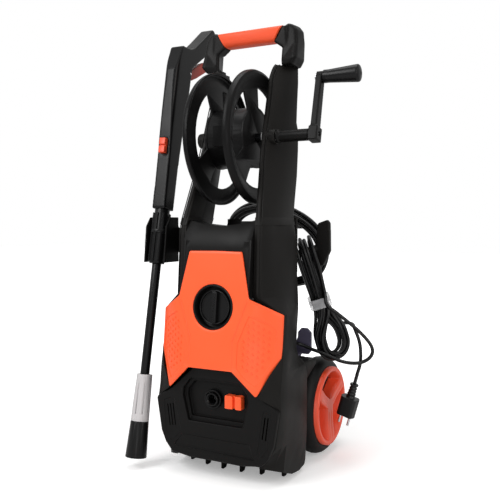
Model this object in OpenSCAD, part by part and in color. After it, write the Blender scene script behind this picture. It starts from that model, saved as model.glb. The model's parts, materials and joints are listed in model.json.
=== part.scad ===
// Upright pressure washer with a hose reel, a lance in a side clip and two transport wheels.
// Machine frame: x = 0 is the middle plane, y = 0 the wheel axle (front is -y), z = 0 the floor.
// place() then moves every piece so that the origin is under the middle of the whole machine.

/* [Wheels] */
// Outer radius of a wheel
wheel_r = 98; // [92:1:102]
// Gap between the box and the inner side of a wheel
wheel_gap = 8; // [6:1:12]
// Width of a wheel
wheel_w = 43; // [38:1:46]
// Height of a tyre's side around the orange cap
tyre_band = 19; // [16:1:23]
// Radius of the axle
axle_r = 6; // [5:0.5:8]
// Clearance between a fender and its wheel
arch_gap = 8; // [6:1:12]

/* [Body] */
// Wall thickness of the shells
wall = 3; // [2.4:0.2:3.4]
// Gap between two shells that meet edge to edge
seam = 0.4; // [0.2:0.1:0.8]
// Height of the seam where the columns start
seam_z = 467; // [460:1:474]
// Back plane of the body, measured forward from the axle
body_back = 104; // [103:1:108]
// Half width of the box between the wheels
box_half_w = 84; // [76:1:86]
// Rear end of the box between the wheels, behind the axle
box_rear = 48; // [40:1:56]
// Height of the deck on the box between the wheels
deck_z = 200; // [194:1:206]
// Front width of a column strip at the seam
strip_w = 14; // [11:1:17]

/* [Panel] */
// Thickness of the orange panel
panel_t = 3; // [2:0.2:3.6]
// Angle by which the middle of the panel leans back
panel_lean = 5.95; // [4:0.05:7]
// Depth by which the wings sweep back at their outer edges
wing_sweep = 36; // [30:1:38]
// Radius of the dish for the switch
dish_r = 41; // [39:1:43]

/* [Switch and outlet] */
// Radius of the switch knob
knob_r = 31; // [28:1:34]
// Depth of the knob's rim under the panel's face
knob_sink = 7; // [5:1:9]
// Height of the grip ridge over the floor of the knob's cup
ridge_h = 8; // [6:1:10]
// Height of the knob's centre over the floor
knob_z = 320; // [316:1:324]
// Height of the high pressure outlet over the floor
outlet_z = 148; // [144:1:152]
// Outer radius of the outlet socket
outlet_r = 17.5; // [15:0.5:19]
// Radius of the outlet's bore
outlet_bore_r = 8; // [6:0.5:10]
// Travel of the outlet latch
latch_travel = 6; // [4:1:8]
// Radius over the thread of the water inlet
inlet_r = 13.2; // [12:0.1:15]

/* [Reel] */
// Height of the reel's axis over the floor
reel_z = 630; // [626:1:634]
// Outer radius of a reel flange
flange_r = 125; // [116:1:126]
// Distance from the middle plane to the inner face of a flange
flange_in_x = 36; // [30:1:38]
// Radius of the reel's shaft
shaft_r = 8; // [6:0.5:9]
// Wall of the plain bushes in the columns
bush_wall = 3; // [2.5:0.5:3.5]
// Length of the crank's arm between its two axes
crank_len = 110; // [98:1:116]
// Distance from the middle plane to the middle of the crank's arm
crank_x = 156; // [152:1:166]
// Length of the crank's grip
crank_grip_len = 71; // [60:1:78]
// Radius of the crank's grip at its end
crank_grip_r = 16; // [14:0.5:18]

/* [Handle] */
// Height of the middle of the handle grip
grip_z = 832; // [828:1:836]
// Height of the grip sleeve's section
grip_h = 30; // [26:1:34]
// Depth of the grip sleeve's section
grip_d = 34; // [28:1:38]
// Side of the square bar inside the grip
bar_side = 20; // [16:1:22]

/* [Lance] */
// Angle by which the gun and lance lean back
lance_lean = 10.43; // [9.8:0.01:11]
// Radius of the lance tube
tube_r = 9; // [7.5:0.5:10]
// Thickness of the gun shell from side to side
gun_w = 30; // [26:1:34]
// Thickness of the trigger
trigger_w = 12; // [9:1:14]
// Largest radius of the black nozzle
nozzle_r = 20.5; // [18:0.5:21]
// Travel of the gun slider
slider_travel = 6; // [4:1:8]

/* [Cords] */
// Diameter of the power cord
cord_d = 7; // [6.6:0.1:7.2]
// Step between two neighbouring loops of the power cord's hank
hank_step = 8.2; // [8:0.05:8.4]
// Diameter of the high pressure hose
hose_d = 8.4; // [8:0.1:8.6]
// Step between two neighbouring loops of the hose coil
hose_step = 9.25; // [9.2:0.05:9.5]

/* [Hidden] */
$fn = 48;

// Colours
black = [0.13, 0.13, 0.125];
soft_black = [0.09, 0.09, 0.09];
orange = [1.0, 0.42, 0.23];
cap_orange = [0.89, 0.3, 0.18];
trigger_red = [0.62, 0.18, 0.13];
light_grey = [0.72, 0.71, 0.71];
hook_grey = [0.36, 0.34, 0.42];
steel = [0.72, 0.73, 0.75];
brass = [0.8, 0.66, 0.36];
alloy = [0.6, 0.62, 0.64];

// Clearances
running = 0.05;  // shaft or pin that turns in its bore, on the radius
touch = 0.3;     // pieces that lie beside each other
eps = 1;         // how far a cut runs past the face that it cuts

// ---- helpers ----
function unit(v) = v / norm(v);
function lerp(a, b, t) = a + (b - a) * t;
function flip(points) = [for (i = [len(points) - 1:-1:0]) [-points[i].x, points[i].y]];
// One corner of an outline, rounded with radius r by n short edges
function corner(a, p, b, r, n) =
    let (u = unit(a - p), v = unit(b - p), half = acos(u * v) / 2, d = r / tan(half),
        c = p + unit(u + v) * r / sin(half), from = p + u * d - c, to = p + v * d - c,
        turn = 2 * (90 - half) * sign(from.x * to.y - from.y * to.x))
    [for (i = [0:n]) c + [from.x * cos(turn * i / n) - from.y * sin(turn * i / n),
        from.x * sin(turn * i / n) + from.y * cos(turn * i / n)]];
// An outline with all its corners rounded
function rounded(points, r, n = 4) =
    let (k = len(points))
    [for (i = [0:k - 1]) each corner(points[(i + k - 1) % k], points[i], points[(i + 1) % k], r, n)];
// An outline, counter-clockwise, moved inwards by d
function inset(points, d) =
    let (k = len(points))
    [for (i = [0:k - 1])
        let (e = unit(points[i] - points[(i + k - 1) % k]), f = unit(points[(i + 1) % k] - points[i]),
            m = [-e.y, e.x], n = [-f.y, f.x])
        points[i] + d * (m + n) / (1 + m * n)];
// An open line, moved to its left by d
function beside(line, d) =
    let (k = len(line))
    [for (i = [0:k - 1])
        let (e = unit(line[max(i, 1)] - line[max(i, 1) - 1]),
            f = unit(line[min(i, k - 2) + 1] - line[min(i, k - 2)]),
            m = [-e.y, e.x], n = [-f.y, f.x])
        line[i] + d * (m + n) / (1 + m * n)];
// The closed outline of a wall of thickness d to the left of an open line
function band(line, d) =
    let (inner = beside(line, d))
    concat(line, [for (i = [len(line) - 1:-1:0]) inner[i]]);
function at_height(points, z) = [for (p = points) [p.x, p.y, z]];
// The point of a table of [z, x, y] rows at height z
function on_line(table, z) =
    [lookup(z, [for (row = table) [row[0], row[1]]]), lookup(z, [for (row = table) [row[0], row[2]]])];

// A closed solid through rings of points, all counter-clockwise seen from above, from low to high
module loft(rings) {
    n = len(rings[0]);
    m = len(rings);
    polyhedron(
        points = [for (ring = rings) each ring],
        faces = concat(
            [[for (i = [0:n - 1]) i]],
            [[for (i = [n - 1:-1:0]) (m - 1) * n + i]],
            [for (j = [0:m - 2], i = [0:n - 1]) [j * n + i, (j + 1) * n + i, (j + 1) * n + (i + 1) % n]],
            [for (j = [0:m - 2], i = [0:n - 1]) [j * n + i, (j + 1) * n + (i + 1) % n, j * n + (i + 1) % n]]));
}

// An outline in x and z, made a slab from y_back forwards
module front_slab(y_back, depth) {
    translate([0, y_back, 0]) rotate([90, 0, 0]) linear_extrude(depth) children();
}

// An outline in y and z, made a slab from x_from to the right
module side_slab(x_from, width) {
    translate([x_from, 0, 0]) rotate([90, 0, 90]) linear_extrude(width) children();
}

// A cylinder along x
module x_rod(x_from, length, r) {
    translate([x_from, 0, 0]) rotate([0, 90, 0]) cylinder(r = r, h = length);
}

// A cylinder towards the back
module y_rod(y_from, length, r) {
    translate([0, y_from, 0]) rotate([-90, 0, 0]) cylinder(r = r, h = length);
}

// The same piece on both sides of the middle plane
module both() {
    children();
    mirror([1, 0, 0]) children();
}

// ---- where the middle of the machine is ----
clip_edge = 193.5;                                   // outer edge of the lance clip
crank_end = crank_x + 8 + crank_grip_len;            // outer end of the crank's grip
face_y0 = -262;                                      // panel at the bottom of its middle
face_z0 = 209;
function face_y(z) = face_y0 + (z - face_z0) * tan(panel_lean);
knob_y = face_y(knob_z);
reel_y = -152;
front_y = min(face_y0, reel_y - flange_r);           // the reel's flanges are the foremost
mid_x = (crank_end - clip_edge) / 2;
mid_y = (wheel_r + front_y) / 2;
echo(mid_x = mid_x, mid_y = mid_y, front_y = front_y, knob_y = knob_y);

module place() {
    translate([-mid_x, -mid_y, 0]) children();
}

// ---- outline of the body ----
axle_z = wheel_r;
wheel_in_x = box_half_w + wheel_gap;                 // inner side of a wheel
cap_r = wheel_r - tyre_band;
arch_r = wheel_r + arch_gap;
// Rows of [z, x, y] down the right side: front edge of the side shell, its front corner,
// the widest part of the wall and the rear corner
lip_line = [[0, 80, -235.6], [43, 88, -235.6], [76, 112, -235.6], [143, 125, -235.6], [167, 91.5, -252],
    [200, 107.5, -246], [235, 123, -228], [285, 112, -219], [309, 100, -217], [338, 86 - strip_w, -231],
    [seam_z, 85.5 - strip_w, -223]];
edge_line = [[0, 92, -235.6], [43, 95, -235.6], [76, 118.5, -235], [143, 128.5, -234], [167, 126, -233],
    [200, 127, -228], [235, 126.5, -221], [309, 125.5, -215], [338, 88, -229], [seam_z, 85.5, -221.5]];
flank_line = [[0, 118, -205], [43, 122, -205], [76, 126, -205], [143, 129, -205], [235, 127.5, -198],
    [309, 123, -188], [338, 108, -170], [380, 101, -162], [seam_z, 95, -160]];
rear_line = [[0, 124, -body_back], [76, 127, -body_back], [190, 127, -body_back], [204, 122, -body_back],
    [218, 107, -body_back], [235, 102, -body_back], [272, 104, -body_back], [309, 107, -body_back],
    [338, 108, -body_back], [445, 105, -body_back], [seam_z, 101, -body_back]];
rear_round = 12;
section_heights = [4, 43, 76, 110, 143, 167, 185, 204, 218, 235, 272, 309, 323, 338, 360, 400, 445, seam_z];
// The right side shell's outer line at height z, from its front lip round to the back
function side_line(z) =
    let (lip = on_line(lip_line, z), edge = on_line(edge_line, z), flank = on_line(flank_line, z),
        rear = on_line(rear_line, z))
    concat([lip, lerp(lip, edge, 0.55)],
        corner(lip, edge, flank, min(4, norm(edge - lip) / 3), 2),
        [lerp(edge, flank, 0.55) + [1.2, -1], flank, lerp(flank, rear, 0.5) + [0.6, 0]],
        corner(flank, rear, rear - [60, 0], rear_round, 3),
        [rear - [rear_round + 8, 0]]);
// Side view of the body's lower edge
skirt = [[-262, 44], [-238, 37], [-170, 11], [-140, 8], [-118, 13], [-102, 30], [-98, 60],
    [-98, seam_z + 20], [-262, seam_z + 20]];

module side_shell() {
    difference() {
        intersection() {
            loft([for (z = section_heights) at_height(band(side_line(z), wall), z)]);
            side_slab(0, 160) polygon(skirt);
        }
        translate([0, 0, axle_z]) x_rod(0, 160, arch_r - 2);
        // rebates for the frame and the panel
        front_slab(frame_back + touch, 10) polygon(inset(frame_outline, -0.4));
        intersection() {
            panel_block(-8, 8 + panel_t + 2 * touch, wing_x);
            front_slab(-150, 150) polygon(inset(panel_outline, -0.4));
        }
    }
}

module side_shell_right() {
    color(black) place() side_shell();
}

module side_shell_left() {
    color(black) place() mirror([1, 0, 0]) side_shell();
}

// ---- base ----
pan_fit = wall + seam;
pan_plan = inset([[-80, -238], [80, -238], [117, -206], [117, -body_back], [-117, -body_back],
    [-117, -206]], pan_fit);
pan_bend = -170;
pan_side = [[-236, 42], [pan_bend, 11.5], [-140, 8.5], [-112, 14], [-body_back, 24], [-body_back, 70], [-236, 70]];
box_side = rounded([[-body_back + seam, 24], [-60, 22], [box_rear - 12, 34], [box_rear, 60],
    [box_rear, deck_z - 56], [box_rear - 18, deck_z - 18], [-28, deck_z], [-body_back + seam, deck_z]], 5, 3);
fender_to = 118;
fender_end = -46;

// The wheel's fender: a ledge over the front of the tyre with a curved underside
module fender() {
    difference() {
        side_slab(box_half_w - wall, fender_to - box_half_w + wall)
            difference() {
                polygon([[-body_back + seam, deck_z - 34], [-body_back + seam, deck_z + 4],
                    [fender_end - 4, deck_z + 4], [fender_end, deck_z + 1], [fender_end, deck_z - 8]]);
                translate([0, axle_z]) circle(r = arch_r - 4, $fn = 96);
            }
        side_slab(box_half_w - wall - eps, wall + eps) polygon(inset(box_side, 0.5));
    }
}

module base_tub() {
    color(black) place() {
        difference() {
            union() {
                difference() {
                    intersection() {
                        linear_extrude(80) polygon(pan_plan);
                        side_slab(-130, 260) polygon(pan_side);
                    }
                    intersection() {
                        linear_extrude(80) polygon(inset(pan_plan, wall));
                        side_slab(-130, 260) polygon([[-232, 46], [-170, 11.5 + wall], [-140, 8.5 + wall],
                            [-112, 14 + wall], [-body_back, 24 + wall], [-body_back, 90], [-232, 90]]);
                    }
                }
                difference() {
                    side_slab(-box_half_w, 2 * box_half_w) polygon(box_side);
                    side_slab(-box_half_w + wall, 2 * (box_half_w - wall))
                        polygon(inset(box_side, wall));
                }
                both() fender();
                // beam between the pan and the box
                translate([-box_half_w + 6, -body_back - 6, 26]) cube([2 * box_half_w - 12, 10, 40]);
                // sleeves that carry the axle
                both() translate([0, 0, axle_z]) x_rod(box_half_w - 24, 26, axle_r + 5);
            }
            translate([0, 0, axle_z]) x_rod(-130, 260, axle_r + running);
            // hole for the water inlet
            translate([inlet_x, 0, inlet_z]) y_rod(box_rear - 10, 30, inlet_pipe_r + touch);
            translate([inlet_x, 0, inlet_z]) y_rod(-body_back - 5, 20, inlet_pipe_r + touch);
            // rows of air slots in the back of the box
            for (x = [-54:12:54]) translate([x, box_rear - wall - eps, 66]) cube([5, wall + 2 * eps, 30]);
        }
    }
}

// Six wedge ribs: [x, y of the front edge]
foot_spots = [[99.4, -163], [59, -174], [20, -180]];
foot_len = 12;
foot_w = 6;

module front_feet() {
    color(black) place()
        both() for (spot = foot_spots)
            side_slab(spot.x - foot_w / 2, foot_w)
                polygon(concat([[spot.y, 0], [spot.y + foot_len, 0]],
                    [for (y = [spot.y + foot_len + 7, pan_bend, spot.y])
                        if (y <= spot.y + foot_len + 7 && y >= spot.y) [y, pan_bottom(y) - touch / 3]]));
}
// Height of the pan's underside at a place under its front half
function pan_bottom(y) = lookup(y, [[-236, 42], [pan_bend, 11.5], [-140, 8.5], [-112, 14]]);

// ---- front ----
function fold_x(z) = lookup(z, [[160, 45], [209, 45], [262, 43], [338, 71], [420, 54.4], [440, 54.4]]);
wing_x = 125;        // outer edge of the wings
// The panel's outer face at x and z, moved back by d
function panel_y(x, z, d = 0) =
    face_y(z) + d + wing_sweep * pow(max(0, (abs(x) - fold_x(z)) / (wing_x - fold_x(z))), 2);
wing_steps = [1, 0.8, 0.6, 0.4, 0.2, 0];
function front_xs(z, reach) =
    concat([for (s = wing_steps) -lerp(fold_x(z), reach, s)],
        [for (i = [len(wing_steps) - 1:-1:0]) lerp(fold_x(z), reach, wing_steps[i])]);
function front_ring(z, reach, d, t) =
    let (xs = front_xs(z, reach), k = len(xs))
    at_height(concat([for (x = xs) [x, panel_y(x, z, d)]],
        [for (i = [k - 1:-1:0]) [xs[i], panel_y(xs[i], z, d + t)]]), z);
panel_rows = [162, 185, 209, 235, 262, 285, 309, 325, 338, 380, 425];
// A slab that follows the panel, from d behind its outer face, t thick
module panel_block(d, t, reach, rows = panel_rows) {
    loft([for (z = rows) front_ring(z, reach, d, t)]);
}
panel_right = [[0, 209.2], [44.9, 209.2], [89.5, 167], [125, 235], [124.7, 308.8], [71.8, 337.9],
    [54.4, 419.6], [0, 420.6]];
panel_outline = concat(panel_right, [for (i = [len(panel_right) - 2:-1:1]) [-panel_right[i].x, panel_right[i].y]]);

// Moves to the knob's centre on the panel, with z pointing out of the panel
module at_knob() {
    translate([0, knob_y, knob_z]) rotate([90 - panel_lean, 0, 0]) children();
}

module front_panel() {
    color(orange) place()
        difference() {
            intersection() {
                panel_block(0, panel_t, wing_x);
                front_slab(-150, 150) polygon(panel_outline);
            }
            at_knob() translate([0, 0, -20]) cylinder(r = dish_r, h = 40);
        }
}

housing_gap = 0.8;    // between the panel and the shell behind it
housing_right = [[0, 213], [46, 213], [64, 192], [88, 173], [103, 195], [114, 236], [114, 306], [68.5, 336],
    [68.5, 452], [0, 452]];
housing_outline = concat(housing_right,
    [for (i = [len(housing_right) - 2:-1:1]) [-housing_right[i].x, housing_right[i].y]]);
bridge_right = [[0, 436], [70, 436], [70, 476], [40, 469], [0, 465]];
bridge_outline = concat(bridge_right, [for (i = [len(bridge_right) - 2:-1:1]) [-bridge_right[i].x, bridge_right[i].y]]);
bridge_back = -180;
brow_z = 440;         // height where the housing starts to lean back
brow_y = face_y(brow_z) + panel_t + housing_gap;
brow_top = -212;

module front_housing() {
    color(soft_black) place()
        difference() {
            union() {
                intersection() {
                    panel_block(panel_t + housing_gap, wall, wing_x, concat(panel_rows, [440, 455]));
                    front_slab(-150, 150) polygon(housing_outline);
                }
                // returns beside the panel, up to the side shells
                both() side_slab(65.5, 5)
                    polygon([[-244.8, 337], [-226, 337], [-221, 452], [-232.9, 452]]);
                // bridge between the columns
                front_slab(bridge_back, bridge_back - brow_y) polygon(bridge_outline);
                // dish round the knob
                at_knob() translate([0, 0, -22]) cylinder(r = dish_r - touch, h = 21);
            }
            // hollow behind the bridge's sloping front
            intersection() {
                front_slab(bridge_back + eps, 80) polygon(inset(bridge_outline, wall));
                side_slab(-80, 160) polygon([[brow_y + 1.15 * wall, 430], [brow_y + 1.15 * wall, brow_z],
                    [brow_top + 1.15 * wall, 478], [-170, 478], [-170, 430]]);
            }
            // the bridge leans back from the brow over the panel to its top
            side_slab(-80, 160) polygon([[-260, brow_z], [brow_y, brow_z], [brow_top, 478], [-260, 478]]);
            at_knob() translate([0, 0, -22 + wall]) cylinder(r = dish_r - touch - wall, h = 30);
            at_knob() translate([0, 0, -30]) cylinder(r = 10, h = 20);
        }
}

// Rows of slots in the cheeks of the frame
slot_w = 3;
frame_y = -243;       // face of the frame
frame_back = -236;
recess_floor = -226;
frame_right = [[0, 38], [94.7, 38], [118.3, 76], [128, 143], [91.6, 166], [45.4, 208.2], [0, 208.2]];
frame_outline = concat(frame_right, [for (i = [len(frame_right) - 2:-1:1]) [-frame_right[i].x, frame_right[i].y]]);
recess_outline = [[-56, 105], [56, 105], [64, 150], [52, 186], [-52, 186], [-64, 150]];
sill_right = [[0, 42], [92, 42], [87, 60], [70, 80], [0, 80]];
sill_outline = concat(sill_right, [for (i = [len(sill_right) - 2:-1:1]) [-sill_right[i].x, sill_right[i].y]]);

module front_frame() {
    color(soft_black) place()
        difference() {
            union() {
                front_slab(frame_back, frame_back - frame_y) polygon(frame_outline);
                // brow under the panel's lower edge
                intersection() {
                    side_slab(-100, 200) polygon([[frame_back, 160], [frame_y, 168], [face_y0 + 1, 208],
                        [face_y0 + 8, 211], [frame_back, 211]]);
                    front_slab(-200, 80) polygon(concat([[-46, 150], [46, 150]],
                        [[90.5, 165.5], [45.4, 208.2], [-45.4, 208.2], [-90.5, 165.5]]));
                }
                intersection() {
                    side_slab(-100, 200) polygon([[frame_y + 1, 40], [frame_y - 3, 44], [frame_y - 13, 58],
                        [frame_y, 80], [frame_y + 1, 80]]);
                    front_slab(-200, 80) polygon(sill_outline);
                }
                // tub of the recess
                front_slab(recess_floor + wall, recess_floor + wall - frame_back)
                    polygon(inset(recess_outline, -wall));
            }
            front_slab(recess_floor, 40) polygon(recess_outline);
            // room behind the brow
            intersection() {
                side_slab(-100, 200) polygon([[frame_back + eps, 150], [frame_y - 20, 150], [frame_y - 20, 186],
                    [face_y0 + 7, 204], [frame_back + eps, 204]]);
                front_slab(-200, 80) polygon([[-64, 150], [64, 150], [52, 186], [40, 203], [-40, 203], [-52, 186]]);
            }
            translate([outlet_x, 0, outlet_z]) y_rod(frame_y, 40, outlet_tail_r + touch);
            both() for (x = [76:8:108])
                translate([x, frame_y - eps, 92 + (x - 76) / 4]) cube([slot_w, 20, 44 - (x - 76) / 4]);
            // dark slot under the recess
            translate([-40, frame_y - eps, 88]) cube([80, 4, 4]);
        }
}

// ---- rear ----
rear_half = 80;       // half width of the rear cover

module rear_cover() {
    color(black) place()
        difference() {
            union() {
                front_slab(-body_back + wall, wall)
                    polygon([[-rear_half, deck_z + touch], [rear_half, deck_z + touch], [rear_half, seam_z - 12],
                        [-rear_half, seam_z - 12]]);
                // top deck behind the bridge
                side_slab(-rear_half + 2, 2 * rear_half - 4)
                    polygon([[bridge_back + seam, seam_z - 16], [-body_back + wall, seam_z - 22],
                        [-body_back + wall, seam_z - 22 + wall], [bridge_back + seam, seam_z - 16 + wall]]);
            }
            // air slots
            for (z = [240:12:384]) translate([-45, -body_back - eps, z]) cube([90, wall + 2 * eps, 5]);
        }
}

// ---- columns ----
// Rows of [z, x, y] of the column's six corners, on the right side
column_top = 770;
column_from = seam_z + seam;
function strip_y(z) = -223 + (z - 467) * 0.338;
c_strip_in = [[467, 85.5 - strip_w, 0], [609, 58, 0], [741, 53.5, 0], [column_top, 55, 0]];
c_strip_out = [[467, 85.5, 0], [609, 68, 0], [741, 62.5, 0], [column_top, 64, 0]];
c_rear_out = [[467, 99, -106], [481, 96, -104], [520, 97, -98], [560, 98.5, -92], [609, 98.3, -86], [646, 97, -82],
    [664, 92, -79], [700, 91.5, -74], [750, 92, -68], [column_top, 90, -65]];
c_rear_in = [[467, 86, -104], [481, 82, -103], [609, 72, -82], [750, 68, -66], [column_top, 68, -64]];
c_inner_rear = [[467, 71, -174], [609, 58, -124], [750, 53.5, -84], [column_top, 54, -82]];
column_heights = [column_from, 481, 520, 560, 609, 646, 664, 700, 741, column_top];
function column_ring(z, d) =
    let (si = [on_line(c_strip_in, z).x, strip_y(z)], so = [on_line(c_strip_out, z).x, strip_y(z) + 1.5],
        ro = on_line(c_rear_out, z), ri = on_line(c_rear_in, z), ir = on_line(c_inner_rear, z),
        mid = lerp(so, ro, 0.5) + [3.5, -2])
    d > 0 ? inset([si, so, mid, ro, ri, ir], d)
    : concat(corner(ir, si, so, 1.5, 1), corner(si, so, mid, 3, 2), [mid],
        corner(mid, ro, ri, 6, 3), corner(ro, ri, ir, 5, 2), [ir]);
boss_r = 16;         // radius of the boss round the crank's shaft, at its foot
boss_end = 82;

module column_hollow(from, to) {
    loft([for (z = concat([from], [for (h = column_heights) if (h > from && h < to) h], [to]))
        at_height(column_ring(z, wall), z)]);
}

module column() {
    difference() {
        union() {
            loft([for (z = column_heights) at_height(column_ring(z, 0), z)]);
            // boss round the crank's shaft
            translate([0, reel_y, reel_z]) rotate([0, 90, 0])
                translate([0, 0, 60]) cylinder(r1 = boss_r, r2 = boss_r - 2, h = boss_end - 60);
        }
        // hollow below and above the solid part round the shaft
        column_hollow(column_from - eps, reel_z - boss_r - 2);
        column_hollow(reel_z + boss_r + 2, column_top - 28);
        translate([0, reel_y, reel_z]) x_rod(30, 100, bush_r + running);
        // sloped shoulder on the inner side of the top
        front_slab(0, 200) polygon([[30, 742], [52, 742], [66, column_top + eps], [30, column_top + eps]]);
        // socket for the handle's stem
        translate([stem_x, stem_y, column_top - 30]) stem(stem_fit, 40);
    }
}

module column_right() {
    color(black) place() column();
}

module column_left() {
    color(black) place() mirror([1, 0, 0]) column();
}

// ---- handle ----
stem_x = 70.5;
stem_y = -88;
stem_fit = 0.3;
stem_w = 9;
stem_d = 20;
stem_len = 26;
bar_y = -95;
half_grip = grip_h / 2;
arm_foot = column_top + touch / 3;
// The right arm's section at six heights: inner front, outer front, outer rear, inner rear
arm_sections = [
    [[67, -108], [95, -116], [94, -68], [83, -62], arm_foot],
    [[67, -109], [104, -120], [101, -68], [84, -61], 782],
    [[68, -107], [101, -106], [103, -68], [80, -63], 815],
    [[68, -104], [98, -103], [102, -70], [80, -66], 837],
    [[70, -103], [91, -102], [96, -73], [80, -70], 846],
    [[75, -101], [83, -100], [87, -77], [79, -76], 850]];

module stem(fit, h) {
    translate([-stem_w / 2 - fit, -stem_d / 2 - fit, 0]) cube([stem_w + 2 * fit, stem_d + 2 * fit, h]);
}

module handle_frame() {
    color(soft_black) place() {
        both() {
            loft([for (row = arm_sections) at_height(rounded([for (i = [0:3]) row[i]], 5, 2), row[4])]);
            // cheek beside the grip's slanted end
            front_slab(bar_y + grip_d / 2 - 4, grip_d - 8)
                polygon([[68, 806], [52.8, grip_z - half_grip], [69.6, grip_z + half_grip - 2],
                    [79, grip_z + half_grip - 2], [79, 806]]);
            // stem into the column
            translate([stem_x, stem_y, column_top - stem_len]) stem(0, stem_len + 6);
        }
        // core bar of the grip
        translate([-75, bar_y - bar_side / 2, grip_z - bar_side / 2]) cube([150, bar_side, bar_side]);
    }
}

module handle_grip() {
    color(orange) place()
        difference() {
            intersection() {
                side_slab(-80, 160)
                    polygon(rounded([[bar_y - grip_d / 2, grip_z - half_grip], [bar_y + grip_d / 2, grip_z - half_grip],
                        [bar_y + grip_d / 2, grip_z + half_grip], [bar_y - grip_d / 2, grip_z + half_grip]], 11, 6));
                front_slab(-20, 160)
                    polygon([[-52.6, grip_z - half_grip], [52.6, grip_z - half_grip],
                        [70.6, grip_z + half_grip], [-70.6, grip_z + half_grip]]);
            }
            side_slab(-90, 180)
                translate([bar_y - bar_side / 2 - 0.1, grip_z - bar_side / 2 - 0.1])
                    square(bar_side + 0.2);
        }
}

// ---- wheels ----
hub_r = axle_r + 10;
rim_in = cap_r + 0.3;
tyre_side = wheel_w - 8;   // from the wheel's inner side to the outer side of the tyre
web_x = 18;           // from the wheel's inner side to the web
// Section of a wheel: [distance from the axle, distance from the inner side]
wheel_section = concat(
    [[axle_r + running, -4], [hub_r, -4], [hub_r, web_x - 6], [rim_in - 6, web_x - 6], [rim_in - 6, 4]],
    [[rim_in - 6, 0]],
    corner([rim_in, 0], [wheel_r - 2, 0], [wheel_r, 12], 4, 3),
    [[wheel_r, 12], [wheel_r - 0.5, 19], [wheel_r - 3, 26], [wheel_r - 8, 32], [wheel_r - 14, tyre_side], [rim_in, tyre_side]],
    [[rim_in, web_x], [hub_r, web_x], [hub_r, wheel_w - 9], [axle_r + running, wheel_w - 9]]);

module wheel() {
    translate([wheel_in_x, 0, axle_z]) rotate([0, 90, 0])
        rotate_extrude($fn = 96) polygon(wheel_section);
}

module wheel_right() {
    color(soft_black) place() wheel();
}

module wheel_left() {
    color(soft_black) place() mirror([1, 0, 0]) wheel();
}

spoke_half = 17;      // half angle of a spoke
window_in = 26;
window_out = cap_r - 9;

// A window of the cap between two spokes, around the direction a
module cap_window(a, from, to) {
    translate([0, 0, from]) linear_extrude(to - from)
        polygon(rounded(concat(
            [for (i = [-3:3]) let (t = a + i * (60 - spoke_half) / 3) window_out * [cos(t), sin(t)]],
            [for (i = [2:-1:-2]) let (t = a + i * (34 - spoke_half) / 2) window_in * [cos(t), sin(t)]]), 2.5, 2));
}

module wheel_cap() {
    translate([wheel_in_x, 0, axle_z]) rotate([0, 90, 0])
        difference() {
            rotate_extrude($fn = 96)
                polygon([[0, wheel_w - 8.5], [hub_r + 1, wheel_w - 8.5], [hub_r + 1, web_x + 0.3],
                    [cap_r, web_x + 0.3], [cap_r, wheel_w - 1], [cap_r - 1.5, wheel_w + 0.5],
                    [cap_r - 7, wheel_w], [window_in, wheel_w - 3], [0, wheel_w - 3]]);
            cap_window(180, web_x - eps, wheel_w + 2);
            for (a = [60, -60]) cap_window(a, web_x + 4, wheel_w + 2);
        }
}

module wheel_cap_right() {
    color(cap_orange) place() wheel_cap();
}

module wheel_cap_left() {
    color(cap_orange) place() mirror([1, 0, 0]) wheel_cap();
}

module axle() {
    axle_end = wheel_in_x + wheel_w - 9;
    color(steel) place() translate([0, 0, axle_z]) x_rod(-axle_end, 2 * axle_end, axle_r);
}

// ---- reel ----
bush_r = shaft_r + bush_wall;
disc_t = 4;
drum_r = 56;
core_side = 38;
flange_hub_r = 57;
window_top = 96;
// Section of a flange: [distance from the axis, distance from its inner face]
flange_section = concat(
    [[shaft_r + 0.02, 0], [97, 0], [104, 3], [112, 6.5], [flange_r - 6, 7.5], [flange_r - 3.5, 5], [flange_r - 3.5, 0]],
    [[flange_r, 0], [flange_r, 6]],
    [[flange_r - 2, 10], [flange_r - 7, 12], [111, 10.5], [102, 6.5], [96, disc_t], [shaft_r + 0.02, disc_t]]);

// Moves to the reel's axis, with z along +x
module at_reel() {
    translate([0, reel_y, reel_z]) rotate([90, 0, 90]) children();
}

module reel_flange() {
    at_reel() translate([0, 0, flange_in_x])
        difference() {
            rotate_extrude($fn = 96) polygon(flange_section);
            for (a = [-75, 45, 165])
                translate([0, 0, -eps]) linear_extrude(disc_t + 2 * eps)
                    polygon(rounded(concat(
                        [for (i = [-5:5]) let (t = a + i * 8.6) (window_top - 2) * [cos(t), sin(t)]],
                        [for (i = [4:-1:-4]) let (t = a + i * 9.6) flange_hub_r * [cos(t), sin(t)]]), 2, 2));
        }
}

module reel_flange_right() {
    color(black) place() reel_flange();
}

module reel_flange_left() {
    color(black) place() mirror([1, 0, 0]) reel_flange();
}

module reel_drum() {
    drum_half = flange_in_x - 0.05;
    color(soft_black) place()
        difference() {
            at_reel() translate([0, 0, -drum_half]) {
                difference() {
                    cylinder(r = drum_r, h = 2 * drum_half, $fn = 96);
                    translate([0, 0, wall]) cylinder(r = drum_r - wall, h = 2 * drum_half - 2 * wall, $fn = 96);
                }
                cylinder(r = 13, h = 2 * drum_half);
                // square block for the hose's connection
                translate([-drum_r - 2, -core_side / 2, 14]) cube([16, core_side, core_side]);
            }
            translate([0, reel_y, reel_z]) x_rod(-60, 120, shaft_r + 0.02);
        }
}

shaft_from = 3 - boss_end;
shaft_to = crank_x - 12;

module reel_shaft() {
    color(steel) place() translate([0, reel_y, reel_z]) x_rod(shaft_from, shaft_to - shaft_from, shaft_r);
}

bush_from = 50;
bush_len = boss_end - bush_from - 4;

module reel_bushes() {
    color(light_grey) place()
        both() translate([0, reel_y, reel_z])
            difference() {
                x_rod(bush_from + 3, bush_len, bush_r);
                x_rod(bush_from, bush_len + 10, shaft_r + running);
            }
}

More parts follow.
